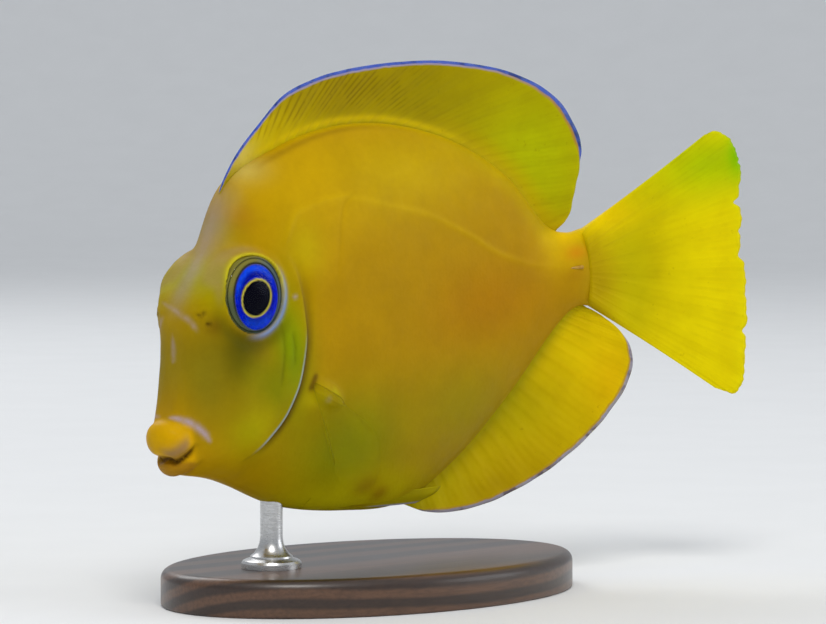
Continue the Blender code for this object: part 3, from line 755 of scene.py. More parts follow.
def body_tube():
    """The body from the mouth to the tail fin, drawn to a rounded end inside the fin."""
    bm = bmesh.new()
    share, turn = tube(bm, *BODY_GRID)
    station = share * (STATIONS + STALK_TAPER)
    past = np.maximum(station - STATIONS, 0.0)
    drawn = ease(past / STALK_TAPER)
    level = -np.cos(turn)
    kept = np.minimum(station, STATIONS)
    point = rib_point(kept, level)
    keel = np.abs(np.sin(turn)) / KEEL_ROUNDING
    width = half_width(kept, level) * rounded(keel) * (1.0 - 0.80 * drawn)
    distance = point[:, 0] + past * (1.0 - 0.45 * level ** 4)
    height = point[:, 1] * (1.0 + 0.045 * past * (1.0 - 0.35 * drawn))
    place(bm, np.column_stack((distance, np.where(turn < math.pi, LEFT, RIGHT) * width, height)))
    close_tube(bm)
    return bm


def lip_curve(sizes, turn, angle=None):
    """Places on a lip, a half ring round the mouth that thins to its corners, or along its middle."""
    depth = sizes["corner"] - sizes["front"]
    fade = 1.0 - np.cos(turn)
    centre = np.column_stack((
        sizes["corner"] - depth * np.cos(turn),
        sizes["half_width"] * np.sin(turn),
        sizes["height"] + sizes["drop"] * fade,
    ))
    if angle is not None:
        radius = sizes["radius"] * (1.0 - (1.0 - sizes["corner_share"]) * fade)
        outward = np.column_stack((-sizes["half_width"] * np.cos(turn), depth * np.sin(turn)))
        outward /= np.linalg.norm(outward, axis=1)[:, None]
        centre[:, :2] += outward * (radius * np.cos(angle))[:, None]
        centre[:, 2] += radius * sizes["rise"] / sizes["radius"] * np.sin(angle)
    return centre


def add_lip(sizes):
    """One lip as a closed tube."""
    bm = bmesh.new()
    share, angle = tube(bm, *LIP_GRID)
    place(bm, lip_curve(sizes, LIP_SWEEP * (2.0 * share - 1.0), angle))
    close_tube(bm)
    return bm


def add_lobes():
    """The fleshy lobes that carry the pectoral fins."""
    bm = bmesh.new()
    upper, lower = np.array(PECTORAL_ROOT)
    middle = (upper + lower) / 2.0
    out = float(on_flank(*middle))
    slope = math.atan2(lower[1] - upper[1], lower[0] - upper[0])
    for side in (LEFT, RIGHT):
        made = bmesh.ops.create_uvsphere(bm, u_segments=32, v_segments=20, radius=1.0)["verts"]
        bmesh.ops.scale(bm, vec=PECTORAL_LOBE, verts=made)
        bmesh.ops.rotate(bm, verts=made, matrix=Matrix.Rotation(-slope, 3, "Y"))
        bmesh.ops.translate(bm, verts=made, vec=(middle[0], side * out, middle[1]))
    return bm


def joined(meshes):
    """Several bmeshes in one."""
    whole = bmesh.new()
    for bm in meshes:
        part = mesh_of("part", bm)
        whole.from_mesh(part)
        bpy.data.meshes.remove(part)
    return whole


def one_skin(bm, size):
    """Melt overlapping closed forms into one closed skin of even faces, and even out its steps."""
    mesh = mesh_of("forms", bm)
    obj = object_of("forms", mesh)
    melt = obj.modifiers.new("melt", "REMESH")
    melt.mode = "VOXEL"
    melt.voxel_size = size
    melted = bpy.data.meshes.new_from_object(obj.evaluated_get(bpy.context.evaluated_depsgraph_get()))
    bpy.data.objects.remove(obj)
    bpy.data.meshes.remove(mesh)
    bm = bmesh.new()
    bm.from_mesh(melted)
    for _ in range(SKIN_ROUNDS):
        bmesh.ops.smooth_vert(
            bm, verts=bm.verts, factor=0.5, use_axis_x=True, use_axis_y=True, use_axis_z=True
        )
    bm.to_mesh(melted)
    bm.free()
    return melted


def eye_reach(points):
    """Distance of points from the nearer eye's axis, and their turn round it; 0 points back, 90 up."""
    along, up = (points[:, 0] - EYE_CENTRE[0]) / EYE_NARROW, points[:, 2] - EYE_CENTRE[1]
    return np.hypot(along, up), np.degrees(np.arctan2(up, along))


def turn_share(turn, middle, reach):
    """1 near a turn round the eye, falling smoothly to 0 past the reach, in degrees."""
    away = np.abs((turn - middle + 180.0) % 360.0 - 180.0)
    return 1.0 - ease((away - reach * 0.6) / (reach * 0.8))


def gape_reach(points):
    """Height of points over the gape, how far along it they lie, and their arc round the mouth."""
    arc = MOUTH_RADIUS * np.arctan2(np.abs(points[:, 1]), MOUTH_MIDDLE - points[:, 0])
    over, along = line_distance(np.column_stack((arc, points[:, 2])), curve(GAPE, 40))
    return over, along, arc


def shape_skin(mesh, settings, ring):
    """Raise the gill covers, orbits and lateral line, and sink the nostrils, sockets and creases."""
    points, normals = vectors(mesh.vertices, "co"), vectors(mesh.vertex_normals, "vector")
    side = points[:, [0, 2]]
    flank = ease((np.abs(points[:, 1]) - 1.2) / 1.6)

    gill, along = line_distance(side, curve(GILL_EDGE, 60))
    cover = ease(1.0 - gill / 5.0) * ease((gill + 0.22) / 0.44) * (gill > -0.22)
    lift = settings.cover_lift / MM * cover * taper(along, 0.16, 0.36)
    lift -= 0.10 * bell(gill + 0.45, 0.4) * taper(along, 0.2, 0.36)
    for line, count, (relief, reach, rise, fall), _, _ in SKIN_LINES:
        away, along = line_distance(side, curve(line, count))
        lift += relief * bell(away, reach) * taper(along, rise, fall)
    for distance, height, radius in NOSTRILS:
        away = np.hypot(side[:, 0] - distance, side[:, 1] - height)
        lift += 0.10 * bell(away - radius * 1.5, 0.3) - 0.4 * bell(away, radius)
    reach = eye_reach(points)[0] - ring
    lift += 0.20 * bell(reach - 0.32, 0.34) - 0.10 * bell(reach - 1.25, 0.5)
    over, along, _ = gape_reach(points)
    lift = lift * flank - 0.62 * bell(over, 0.28) * (1.0 - 0.5 * ease((along - 0.5) / 0.5))
    points += normals * lift[:, None]

    sink = ease((0.12 - reach) / 0.3) * flank
    points[:, 1] += (np.sign(points[:, 1]) * (EYE_OUT + 0.2) - points[:, 1]) * sink
    move_points(mesh, points)


def paint_skin(mesh, ring):
    """Keep the skin's broad colours, with painted shade and light, and each point's distance from its
    lines, on the mesh.
    """
    points = vectors(mesh.vertices, "co")
    side = points[:, [0, 2]]
    distance, out, height = points.T
    flank = ease((np.abs(out) - 1.0) / 1.6)

    away, along = line_distance(side, curve(BACK, 240))
    middle = bell(out, 1.3 + 1.4 * ease((distance - 9.0) / 3.0))
    layers = [
        (0.5 * bell(away - 0.1, 0.45) * between(along, 0.42, 0.1, 0.76, 0.14), (200, 176, 4)),
        # A painted shade line just under the light band at the dorsal fin's root
        (0.5 * bell(away + 0.45, 0.26) * between(along, 0.40, 0.05, 0.64, 0.12), (132, 96, 2)),
        # Painted light along the rear of the back, where the body curves away and would turn darker
        (0.5 * ease(1.0 - np.abs(away) / 3.6) * between(along, 0.62, 0.12, 0.92, 0.08), (188, 166, 2)),
        (0.42 * bell(away, 0.9) * middle * between(along, 0.2, 0.06, 0.40, 0.06), (156, 140, 132)),
    ]
    for line, count, _, (shade, reach, rise, fall), tone in SKIN_LINES:
        away, along = line_distance(side, curve(line, count))
        layers.append((shade * bell(away, reach) * taper(along, rise, fall) * flank, tone))

    sweep = np.linspace(-LIP_SWEEP, LIP_SWEEP, 60)
    upper, lower = (nearest(points, lip_curve(sizes, sweep))[0] for sizes in (UPPER_LIP, LOWER_LIP))
    over, _, arc = gape_reach(points)
    front = ease((4.7 - arc) / 1.1)
    layers += [
        (1.1 * ease((2.3 - upper) / 0.7) * front, (200, 154, 4)),
        (1.1 * ease((1.5 - lower) / 0.6) * ease((-11.2 - height) / 0.5) * front, (160, 116, 18)),
        # Painted shade under the lower lip, where it meets the chin
        (0.7 * ease((1.7 - lower) / 0.6) * ease((-12.6 - height) / 0.5), (120, 92, 10)),
        (0.8 * bell(over - 0.95, 0.62) * between(arc, 0.2, 1.4, 3.9, 0.8), (146, 114, 80)),
        # Painted shade in the gape between the lips
        (0.95 * bell(over, 0.28) * ease((4.5 - arc) / 0.8), (60, 28, 2)),
    ]
    beyond, turn = eye_reach(points)
    for strength, past, reach, toward, spread, tone in EYE_RINGS:
        share = strength * bell(beyond - ring - past, reach) * turn_share(turn, toward, spread)
        layers.append((share * flank, tone))

    gill, along = line_distance(side, curve(GILL_EDGE, 60))
    stripe = np.zeros(len(points))
    for line, count, mirror, half, strength in STRIPES:
        away, run = nearest(points, curve(line, count) * (1.0, mirror, 1.0))
        band = bell(away, half * (0.45 + 0.55 * taper(run, 0.5, 0.2))) * taper(run, 0.2, 0.12)
        stripe = np.maximum(stripe, strength * band)
    speck = bell(np.hypot(distance - 17.8, height - 3.8), 0.22)
    speck += 0.7 * bell(np.hypot(distance - 20.5, height + 7.5), 0.3)
    # Painted shade in the pectoral fin's armpit and in the nostrils
    dark = bell(line_distance(side, curve(AXIL, 20))[0], 0.34)
    for spot_along, spot_up, radius in NOSTRILS:
        dark += bell(np.hypot(distance - spot_along, height - spot_up), radius * 0.9)
    store(
        mesh,
        ground=layered(painted(SKIN_GROUND, SKIN_PATCHES, points), layers),
        gill=np.clip(gill, -5.0, 5.0),
        gill_reach=0.85 * between(along, 0.08, 0.15, 0.68, 0.2) * flank,
        # Where the painted shadow behind the gill cover shows
        gill_shade=0.85 * between(along, 0.1, 0.2, 0.94, 0.4) * flank,
        stripe=0.85 * np.clip(stripe + speck * flank, 0.0, 1.0),
        crease=0.85 * np.clip(dark * flank, 0.0, 1.0),
    )


class TANG_OT_skin(bpy.types.Operator):
    """Build the fish's skin, from the lips to the root of the tail fin, in one piece"""
    bl_idname = "tang.skin"
    bl_label = "Skin"

    def execute(self, context):
        settings = context.scene.tang_skin
        ring = context.scene.tang_eyes.ring_radius / MM
        forms = joined([body_tube(), add_lip(UPPER_LIP), add_lip(LOWER_LIP), add_lobes()])
        mesh = one_skin(forms, settings.mesh_size / MM)
        shape_skin(mesh, settings, ring)
        paint_skin(mesh, ring)
        into_pose(mesh)
        mesh.name = "skin"
        mesh.shade_smooth()
        obj = object_of("skin", mesh)
        mesh.materials.append(skin_finish(settings))
        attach(obj, "root")
        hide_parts("head", "torso", "tail_stalk")
        return {"FINISHED"}


def eye_finish():
    """The painted eye under its clear cornea."""
    finish, tree, shader = new_finish("tang_eye")
    fibre = noise(tree, object_place(tree), 2400.0, 2.0, 0.6, (0.3, 0.7, 0.75, 1.2))
    ground = attribute(tree, "ground", "Color")
    light = node(tree, "CombineXYZ", {0: fibre, 1: fibre, 2: fibre}).outputs[0]
    fill(shader, {
        "Base Color": mix(tree, attribute(tree, "iris"), ground, tinted(tree, ground, light)),
        "Normal": bump(tree, 0.35, 0.00005, fibre),
        "Roughness": 0.45,
        "Specular IOR Level": 0.0,
    })
    return finish


def cornea_finish():
    """Clear cornea: only its gloss shows."""
    finish, tree, shader = new_finish("tang_cornea")
    gloss = node(tree, "Fresnel", {"IOR": 1.33}).outputs[0]
    fill(shader, {
        "Base Color": (0.24, 0.25, 0.28, 1.0), "Metallic": 1.0, "Roughness": 0.03, "Alpha": gloss,
    })
    return finish


def eye_dome(side, ring, sizes):
    """A closed eye form: a dome of some rise over its rim, and a rounded back."""
    rise, past_ring, back = sizes
    rim = ring + past_ring
    bm = bmesh.new()
    bmesh.ops.create_uvsphere(bm, u_segments=EYE_GRID[0], v_segments=EYE_GRID[1], radius=1.0)
    along, up, front = coordinates(bm).T
    swell = np.sqrt(np.maximum(1.0 - along ** 2 - up ** 2, 0.0))
    out = EYE_RIM_OUT + np.where(front > 0.0, rise * swell ** 1.25, -back * swell)
    place(bm, np.column_stack((
        EYE_CENTRE[0] + along * rim * EYE_NARROW, side * out, EYE_CENTRE[1] + up * rim,
    )))
    bmesh.ops.recalc_face_normals(bm, faces=bm.faces)
    return bm


def paint_eye(mesh, settings):
    """Keep the eye's rings of colour on its mesh."""
    points = vectors(mesh.vertices, "co")
    pupil = settings.pupil / MM
    reach, turn = eye_reach(points)
    beyond = reach - settings.ring_radius / MM
    along, up = points[:, 0] - EYE_CENTRE[0], points[:, 2] - EYE_CENTRE[1]

    blue_reach = np.hypot((along - 0.12) / 0.95, (up + 0.26) / 1.11)
    iris = ease((3.14 - blue_reach) / 0.16)
    top = turn_share(turn, 100.0, 70.0) * bell(blue_reach - 2.75, 0.35)
    bottom = 0.9 * turn_share(turn, -90.0, 38.0) * bell(blue_reach - 2.5, 0.5)
    inner = 0.7 * bell(blue_reach - 2.15, 0.28) * (1.0 - 0.6 * turn_share(turn, -90.0, 50.0))

    across, over = (along - 0.04) / 1.05, up + 0.32
    long_way = across * math.cos(PUPIL_TILT) + over * math.sin(PUPIL_TILT)
    short_way = over * math.cos(PUPIL_TILT) - across * math.sin(PUPIL_TILT)
    past = np.hypot(long_way / 1.06, short_way * 1.05) - pupil
    sides = np.abs(np.cos(np.arctan2(short_way, long_way)))
    colour = layered(np.tile(linear((92, 112, 128)), (len(points), 1)), [
        (turn_share(turn, 150.0, 95.0), (150, 144, 66)),
        (0.6 * bell(beyond + 0.95, 0.16) * turn_share(turn, 120.0, 70.0), (86, 82, 14)),
        (0.8 * turn_share(turn, -140.0, 50.0), (110, 128, 96)),
        (0.8 * turn_share(turn, 0.0, 60.0), (120, 140, 136)),
        (0.95 * bell(blue_reach - 3.20, 0.13) * turn_share(turn, 90.0, 130.0), (6, 8, 30)),
        (iris, settings.iris),
        (iris * np.maximum(top, bottom), settings.iris_bright),
        (iris * inner, (4, 12, 110)),
        (ease((0.36 - 0.12 * sides - past) / 0.12), (150, 138, 30)),
        (ease((0.21 - past) / 0.08), settings.pupil_ring),
        (ease((0.06 - past) / 0.1), (0.0015, 0.0015, 0.006)),
        # Painted shadow in the gap at the eyeball's rim
        (0.85 * bell(beyond + 0.10, 0.08), (34, 34, 16)),
        (ease((beyond - 0.02) / 0.1), (112, 106, 44)),
    ])
    store(mesh, ground=colour, iris=iris * ease((past - 0.3) / 0.2))


class TANG_OT_eyes(bpy.types.Operator):
    """Build both eyes, each an iris with its pupil under a clear cornea"""
    bl_idname = "tang.eyes"
    bl_label = "Eyes"

    def execute(self, context):
        settings = context.scene.tang_eyes
        finish, clear = eye_finish(), cornea_finish()
        ring = settings.ring_radius / MM
        for side, word in SIDES:
            dome = eye_dome(side, ring, BALL_DOME)
            ball = piece(f"eyeball_{word}", dome, finish, [f"eye_{word}"])
            paint_eye(ball.data, settings)
            into_pose(ball.data)
            shell = piece(f"cornea_{word}", eye_dome(side, ring, CORNEA_DOME), clear)
            into_pose(shell.data)
        return {"FINISHED"}


def fin_sheet(roots, tips, columns, steps, half, arch=None):
    """A thin closed sheet from a root line to a margin; returns it with its shares and outs."""
    bm = bmesh.new()
    bmesh.ops.create_grid(bm, x_segments=columns, y_segments=steps, size=0.5)
    share, out = coordinates(bm).T[:2] + 0.5

    def middle(share, out):
        root, tip = roots(share), tips(share)
        point = root + (tip - root) * out[:, None]
        if arch is not None:
            point = point + arch(share) * np.sin(math.pi * out)[:, None]
        return point

    step = 1e-3
    across = middle(np.minimum(share + step, 1.0), out) - middle(np.maximum(share - step, 0.0), out)
    normal = np.cross(middle(share, out + step) - middle(share, out - step), across)
    normal /= np.linalg.norm(normal, axis=1)[:, None]
    centre, offset = middle(share, out), normal * half(share, out)[:, None]
    made = bmesh.ops.duplicate(bm, geom=bm.verts[:] + bm.edges[:] + bm.faces[:])
    other = [item for item in made["geom"] if isinstance(item, bmesh.types.BMFace)]
    bmesh.ops.reverse_faces(bm, faces=other)
    place(bm, np.vstack((centre + offset, centre - offset)))
    bmesh.ops.bridge_loops(bm, edges=rim_edges(bm))
    bmesh.ops.recalc_face_normals(bm, faces=bm.faces)
    length = np.linalg.norm(tips(share) - roots(share), axis=1)
    return bm, np.tile(share, 2), np.tile(out, 2), np.tile(length, 2)


def ridge(share, out, rays, fork, spines):
    """Where the rays run across a fin, from 0 between them to 1 on them; soft rays fork outwards."""
    phase = share * (rays - 1)
    single = 0.5 + 0.5 * np.cos(WHOLE_TURN * phase)
    double, quarter = (0.5 - 0.5 * np.cos(parts * WHOLE_TURN * phase) for parts in (2.0, 4.0))
    forked = ease((out - fork) / 0.16)
    again = ease((out - fork - 0.3) / 0.14)
    outer = double ** 2 * (1.0 - again) + quarter ** 1.5 * again
    soft = single ** 3 * (1.0 - forked) + outer * forked
    return np.where(phase < spines - 0.5, single ** 4, soft)


def rounded(inward):
    """How an edge swells from nothing to its full thickness, as a quarter circle."""
    return np.sqrt(1.0 - (1.0 - np.clip(inward, 0.0, 1.0)) ** 2)


def fin_half(settings, rays, root_half, fork, spines, root_run=0.22, relief=1.0, plain=0.0):
    """A fin's half thickness: fleshy at its root, then a membrane with raised rays."""
    membrane, ray = settings.membrane / MM / 2.0, relief * settings.ray / MM

    def half(share, out):
        inward = np.minimum(share, 1.0 - share)
        base = root_half * np.clip(1.0 - out / root_run, 0.0, 1.0) ** 2 * rounded(inward / 0.12)
        raised = ray * ridge(share, out, rays, fork, spines) * (1.0 - 0.6 * out)
        if plain:
            raised = raised * ease((inward - 0.2 * plain) / plain)
        web = (membrane + raised) * rounded(inward / 0.02)
        return np.maximum(base + web, THINNEST_HALF) * (1.0 - 0.45 * ease((out - 0.9) / 0.1))
    return half


def build_fin(
    settings, name, finish, paint, roots, tips, rays, steps, root_half,
    arch=None, fineness=8, fork=0.45, spines=0, margin_ends=(0.0, 1.0, 0.0), **shape
):
    """Build a fin: its sheet, its rays, depth and colours on the mesh, and its pose."""
    half = fin_half(settings, rays, root_half, fork, spines, **shape)
    bm, share, out, length = fin_sheet(roots, tips, fineness * (rays - 1), steps, half, arch)
    mesh = piece(f"{name}_skin", bm, finish, [name]).data
    start, end, strength = margin_ends
    inside = ease(np.minimum(share, 1.0 - share) / 0.1)
    colour, fold = paint(vectors(mesh.vertices, "co"), share, out)
    store(
        mesh,
        out=out,
        ray=ridge(share, out, rays, fork, spines),
        depth=(1.0 - out) * length,
        margin=strength * between(share, start, 0.16, end, 0.1),
        gap=(0.5 - 0.5 * np.cos(2.0 * WHOLE_TURN * share * (rays - 1))) ** 3 * inside,
        ground=colour,
        fold=fold,
    )
    into_pose(mesh)


def keel_root(outline, ends, direction, sunk):
    """A root line sunk a little into the body's back or belly."""
    def point(share):
        station = ends[0] + (ends[1] - ends[0]) * share
        here = smooth(outline, station)
        run = smooth(outline, station + 0.05) - smooth(outline, station - 0.05)
        normal = np.column_stack((-run[:, 1], run[:, 0]))
        here = here - direction * sunk * normal / np.linalg.norm(normal, axis=1)[:, None]
        return np.insert(here, 1, 0.0, axis=1)
    return point


def margin(outline, ripple, waves, lean=0.0):
    """A fin's margin in the middle plane, with fine ripples across it; lean slants its front rays."""
    def point(share):
        here = at_share(outline, share + lean * ease(share / 0.2) * (1.0 - share) ** 1.5)
        return np.insert(here, 1, ripple * np.sin(WHOLE_TURN * waves * share), axis=1)
    return point


def over_line(points, outline):
    """Height of a fin's points over the body's back or belly line."""
    return line_distance(points[:, [0, 2]], curve(outline, 240))[0]


def paint_dorsal(points, share, out):
    """The dorsal fin's colours: golden in front, greener behind, a light band at the root."""
    over, distance = over_line(points, BACK), points[:, 0]
    colour = layered(painted((154, 138, 2), DORSAL_PATCHES, points), [
        (0.85 * ease(1.0 - over / 3.2) * ease((distance - 40.0) / 12.0), (176, 152, 2)),
        (0.85 * bell(over - 0.5, 0.42) * between(distance, 16.0, 5.0, 54.0, 12.0), (196, 172, 3)),
    ])
    fold = ease(over - 1.2) * (0.12 + 0.88 * ease((48.0 - distance) / 14.0)) * ease(share / 0.06)
    return colour, fold


def paint_anal(points, share, out):
    """The anal fin's colours: an olive painted shadow where it leaves the belly, golden behind."""
    # Painted shadow along the fin's root at the belly
    base = 0.75 * ease(1.0 - (0.2 - over_line(points, BELLY)) / 2.4)
    colour = layered(painted((184, 160, 2), ANAL_PATCHES, points), [(base, (172, 158, 2))])
    return colour, 0.35 * ease((out - 0.3) / 0.3)


def paint_caudal(points, share, out):
    """The tail fin's colours: a deep golden root and a bright yellow fan, greenish at its upper tip."""
    return painted((218, 198, 3), CAUDAL_PATCHES, points), 0.45 * ease((out - 0.25) / 0.3)


def paint_pectoral(points, share, out):
    """A pectoral fin's colours: bright at the root, glassy yellow beyond."""
    root = 1.0 - ease(out / 0.25)
    return layered(painted((136, 130, 4), [], points), [(root, (160, 142, 4))]), 0.3 * ease(out / 0.3)


def paint_pelvic(points, share, out):
    """A folded pelvic fin's colours: brown at the root, yellow with a pale blue leading edge."""
    colour = painted((166, 152, 4), [(28.0, -19.4, 2.2, 1.4, (136, 96, 4), 0.7)], points)
    edge = ease((share - 0.84) / 0.12) * ease((out - 0.5) / 0.2)
    return layered(colour, [(edge, (158, 160, 186))]), 0.4 * ease(out / 0.3)


class TANG_OT_dorsal_fin(bpy.types.Operator):
    """Build the dorsal fin along the back"""
    bl_idname = "tang.dorsal_fin"
    bl_label = "Dorsal fin"

    def execute(self, context):
        settings = context.scene.tang_fins
        edges = settings.margin, settings.margin_inner
        build_fin(
            settings, "dorsal_fin", fin_finish("tang_dorsal_fin", settings, edges, streaks=0.7),
            paint_dorsal, keel_root(BACK, DORSAL_ROOT, 1.0, 0.5),
            margin(DORSAL_MARGIN, 0.06, 17.5, DORSAL_LEAN), rays=36, steps=36, root_half=0.42,
            spines=9, margin_ends=(-0.04, 0.78, 1.0),
        )
        return {"FINISHED"}


class TANG_OT_anal_fin(bpy.types.Operator):
    """Build the anal fin along the belly"""
    bl_idname = "tang.anal_fin"
    bl_label = "Anal fin"

    def execute(self, context):
        settings = context.scene.tang_fins
        edges = settings.anal_margin, (0.42, 0.26, 0.03)
        build_fin(
            settings, "anal_fin", fin_finish("tang_anal_fin", settings, edges, streaks=0.2),
            paint_anal, keel_root(BELLY, ANAL_ROOT, -1.0, 0.5), margin(ANAL_MARGIN, 0.06, 13.5),
            rays=28, steps=32, root_half=0.42, spines=3, margin_ends=(0.0, 0.86, 0.75),
        )
        return {"FINISHED"}


def caudal_root(share):
    """The tail fin's root, inside the end of the tail stalk."""
    level = (2.0 * share - 1.0) * 0.92
    point = rib_point(np.full(len(share), float(STATIONS)), level)
    return np.column_stack((point[:, 0] - 0.9, np.zeros(len(share)), point[:, 1]))


def caudal_margin(share):
    """The tail fin's rear edge, gently waved, with frayed ray tips."""
    here = at_share(CAUDAL_MARGIN, share)
    frayed = 0.10 * np.sin(WHOLE_TURN * 7.3 * share) + 0.06 * np.cos(WHOLE_TURN * 19.0 * share)
    frayed += 0.04 * np.sin(WHOLE_TURN * 43.0 * share + 1.0)
    for height, depth, reach in CAUDAL_NOTCHES:
        frayed -= depth * bell(here[:, 1] - height, reach)
    here[:, 0] += frayed * taper(share, 0.05, 0.05)
    inside = ease((np.minimum(share, 1.0 - share) - 0.1) / 0.1)
    return np.insert(here, 1, 0.10 * np.sin(WHOLE_TURN * 8.0 * share) * inside, axis=1)


def caudal_arch(share):
    """The tail fin's outer rays arch away from its middle."""
    return np.outer(-0.2 * (2.0 * share - 1.0) ** 3, (0.0, 0.0, 1.0))


class TANG_OT_caudal_fin(bpy.types.Operator):
    """Build the tail fin"""
    bl_idname = "tang.caudal_fin"
    bl_label = "Tail fin"

    def execute(self, context):
        settings = context.scene.tang_fins
        build_fin(
            settings, "caudal_fin", fin_finish("tang_tail_fin", settings, streaks=0.25), paint_caudal,
            caudal_root, caudal_margin, rays=17, steps=48, root_half=1.15, arch=caudal_arch,
            fineness=16, fork=0.3, root_run=0.6, relief=0.45, plain=0.1,
        )
        return {"FINISHED"}


def on_side(places, side):
    """Places of the right side, carried to a side."""
    return lambda share: places(share) * (1.0, side, 1.0)


def pectoral_root(share):
    """The root of a pectoral fin, in the fleshy lobe on the flank."""
    upper, lower = np.array(PECTORAL_ROOT)
    here = upper + (lower - upper) * share[:, None]
    lobe = PECTORAL_LOBE[1] * (1.0 - (2.0 * share - 1.0) ** 2)
    return np.insert(here, 1, on_flank(here[:, 0], here[:, 1]) + lobe - 0.1, axis=1)


def pectoral_tip(share):
    """The margin of a pectoral fin."""
    here = at_share(PECTORAL_TIPS, share)
    here[:, 1] += float(on_flank(*PECTORAL_ROOT[0]))
    here[:, 2] += 0.12 * np.cos(WHOLE_TURN * 13.0 * share)
    return here


class TANG_OT_pectoral_fins(bpy.types.Operator):
    """Build the glassy pectoral fins behind the gill covers"""
    bl_idname = "tang.pectoral_fins"
    bl_label = "Pectoral fins"

    def execute(self, context):
        settings = context.scene.tang_fins
        finish = fin_finish("tang_pectoral_fin", settings, clear=0.88, streaks=0.2)
        for side, word in SIDES:
            build_fin(
                settings, f"pectoral_fin_{word}", finish, paint_pectoral, on_side(pectoral_root, side),
                on_side(pectoral_tip, side), rays=14, steps=28, root_half=0.3, root_run=0.18,
            )
        return {"FINISHED"}


def pelvic_root(share):
    """The root of a pelvic fin, low on the breast."""
    level = PELVIC_LEVELS[0] + (PELVIC_LEVELS[1] - PELVIC_LEVELS[0]) * share
    station = np.full(len(share), PELVIC_STATION)
    return np.insert(rib_point(station, level), 1, half_width(station, level) - 0.45, axis=1)


def pelvic_tip(share):
    """The margin of a pelvic fin, folded back under the belly."""
    return at_share(PELVIC_TIPS, share)


def pelvic_arch(share):
    """A folded pelvic fin curves round the belly."""
    return np.tile((0.0, 0.35, -0.3), (len(share), 1))


class TANG_OT_pelvic_fins(bpy.types.Operator):
    """Build the pelvic fins, folded back along the belly"""
    bl_idname = "tang.pelvic_fins"
    bl_label = "Pelvic fins"

    def execute(self, context):
        settings = context.scene.tang_fins
        finish = fin_finish("tang_pelvic_fin", settings, streaks=0.15)
        for side, word in SIDES:
            build_fin(
                settings, f"pelvic_fin_{word}", finish, paint_pelvic, on_side(pelvic_root, side),
                on_side(pelvic_tip, side), rays=6, steps=32, root_half=0.3,
                arch=on_side(pelvic_arch, side), root_run=0.12, relief=0.5,
            )
        return {"FINISHED"}


class TANG_OT_tail_spines(bpy.types.Operator):
    """Build the sharp spine folded in its groove on each side of the tail stalk"""
    bl_idname = "tang.tail_spines"
    bl_label = "Tail spines"

    def execute(self, context):
        finish, tree, shader = new_finish("tang_tail_spine")
        grain = noise(tree, object_place(tree), 2600.0, 3.0, 0.5, (0.3, 0.7))
        colour = mix(tree, grain, (0.34, 0.17, 0.008), (0.46, 0.26, 0.02))
        fill(shader, {"Base Color": colour, "Roughness": 0.3})
        middle = SPINE_START[0] + SPINE_LENGTH / 2.0
        sunk = float(on_flank(middle, SPINE_START[1])) - SPINE_SUNK
        for side, word in SIDES:
            bm = bmesh.new()
            bmesh.ops.create_cone(
                bm, cap_ends=True, segments=28, radius1=SPINE_RADII[0], radius2=SPINE_RADII[1],
                depth=SPINE_LENGTH,
            )
            bmesh.ops.bevel(
                bm, geom=[edge for edge in bm.edges if all(vertex.co.z < 0 for vertex in edge.verts)],
                offset=0.1, segments=4, profile=0.5, affect="EDGES", material=-1,
            )
            up, out, back = coordinates(bm).T
            curl = 0.35 * (back / SPINE_LENGTH + 0.5) ** 2
            place(bm, np.column_stack((
                middle - back, side * (sunk + out * 0.75 + curl * 0.5), SPINE_START[1] + up + 0.25 * curl,
            )))
            bmesh.ops.recalc_face_normals(bm, faces=bm.faces)
            into_pose(piece(f"tail_spine_{word}", bm, finish).data)
        return {"FINISHED"}


def wood_finish(settings):
    """Dark waxed wood with its grain along the base."""
    finish, tree, shader = new_finish("stand_dark_wood")
    where = object_place(tree)
    rings = node(tree, "TexWave", {
        "Vector": stretched(tree, where, (0.14, 1.0, 1.0), (0.0, 0.011, 0.034)),
        "Scale": 150.0, "Distortion": 2.4, "Detail": 3.0, "Detail Scale": 0.6,
    }, wave_type="RINGS", rings_direction="X").outputs["Fac"]
    fibre = noise(tree, stretched(tree, where, (0.06, 1.0, 1.0)), 2600.0, 3.0, 0.6)
    colour = mix(tree, remap(tree, rings, 0.2, 0.9), settings.wood_dark, settings.wood_light)
    dark = remap(tree, fibre, 0.35, 0.7, 0.0, 0.7)
    fill(shader, {
        "Base Color": mix(tree, dark, colour, tinted(tree, colour, (0.55, 0.5, 0.46))),
        "Normal": bump(tree, 0.35, 0.00006, fibre),
        "Roughness": 0.42,
        "Coat Weight": 0.35,
        "Coat Roughness": 0.22,
    })
    return finish


def steel_finish(settings):
    """Brushed steel, turned on a lathe."""
    finish, tree, shader = new_finish("stand_brushed_steel")
    lines = noise(tree, stretched(tree, object_place(tree), (0.12, 0.12, 1.0)), 9000.0, 3.0, 0.6)
    darker = tuple(0.82 * value for value in settings.steel)
    fill(shader, {
        "Base Color": mix(tree, remap(tree, lines, 0.3, 0.7), settings.steel, darker),
        "Normal": bump(tree, 0.25, 0.00002, lines),
        "Roughness": remap(tree, lines, 0.25, 0.75, 0.22, 0.36),
        "Metallic": 1.0,
    })
    return finish


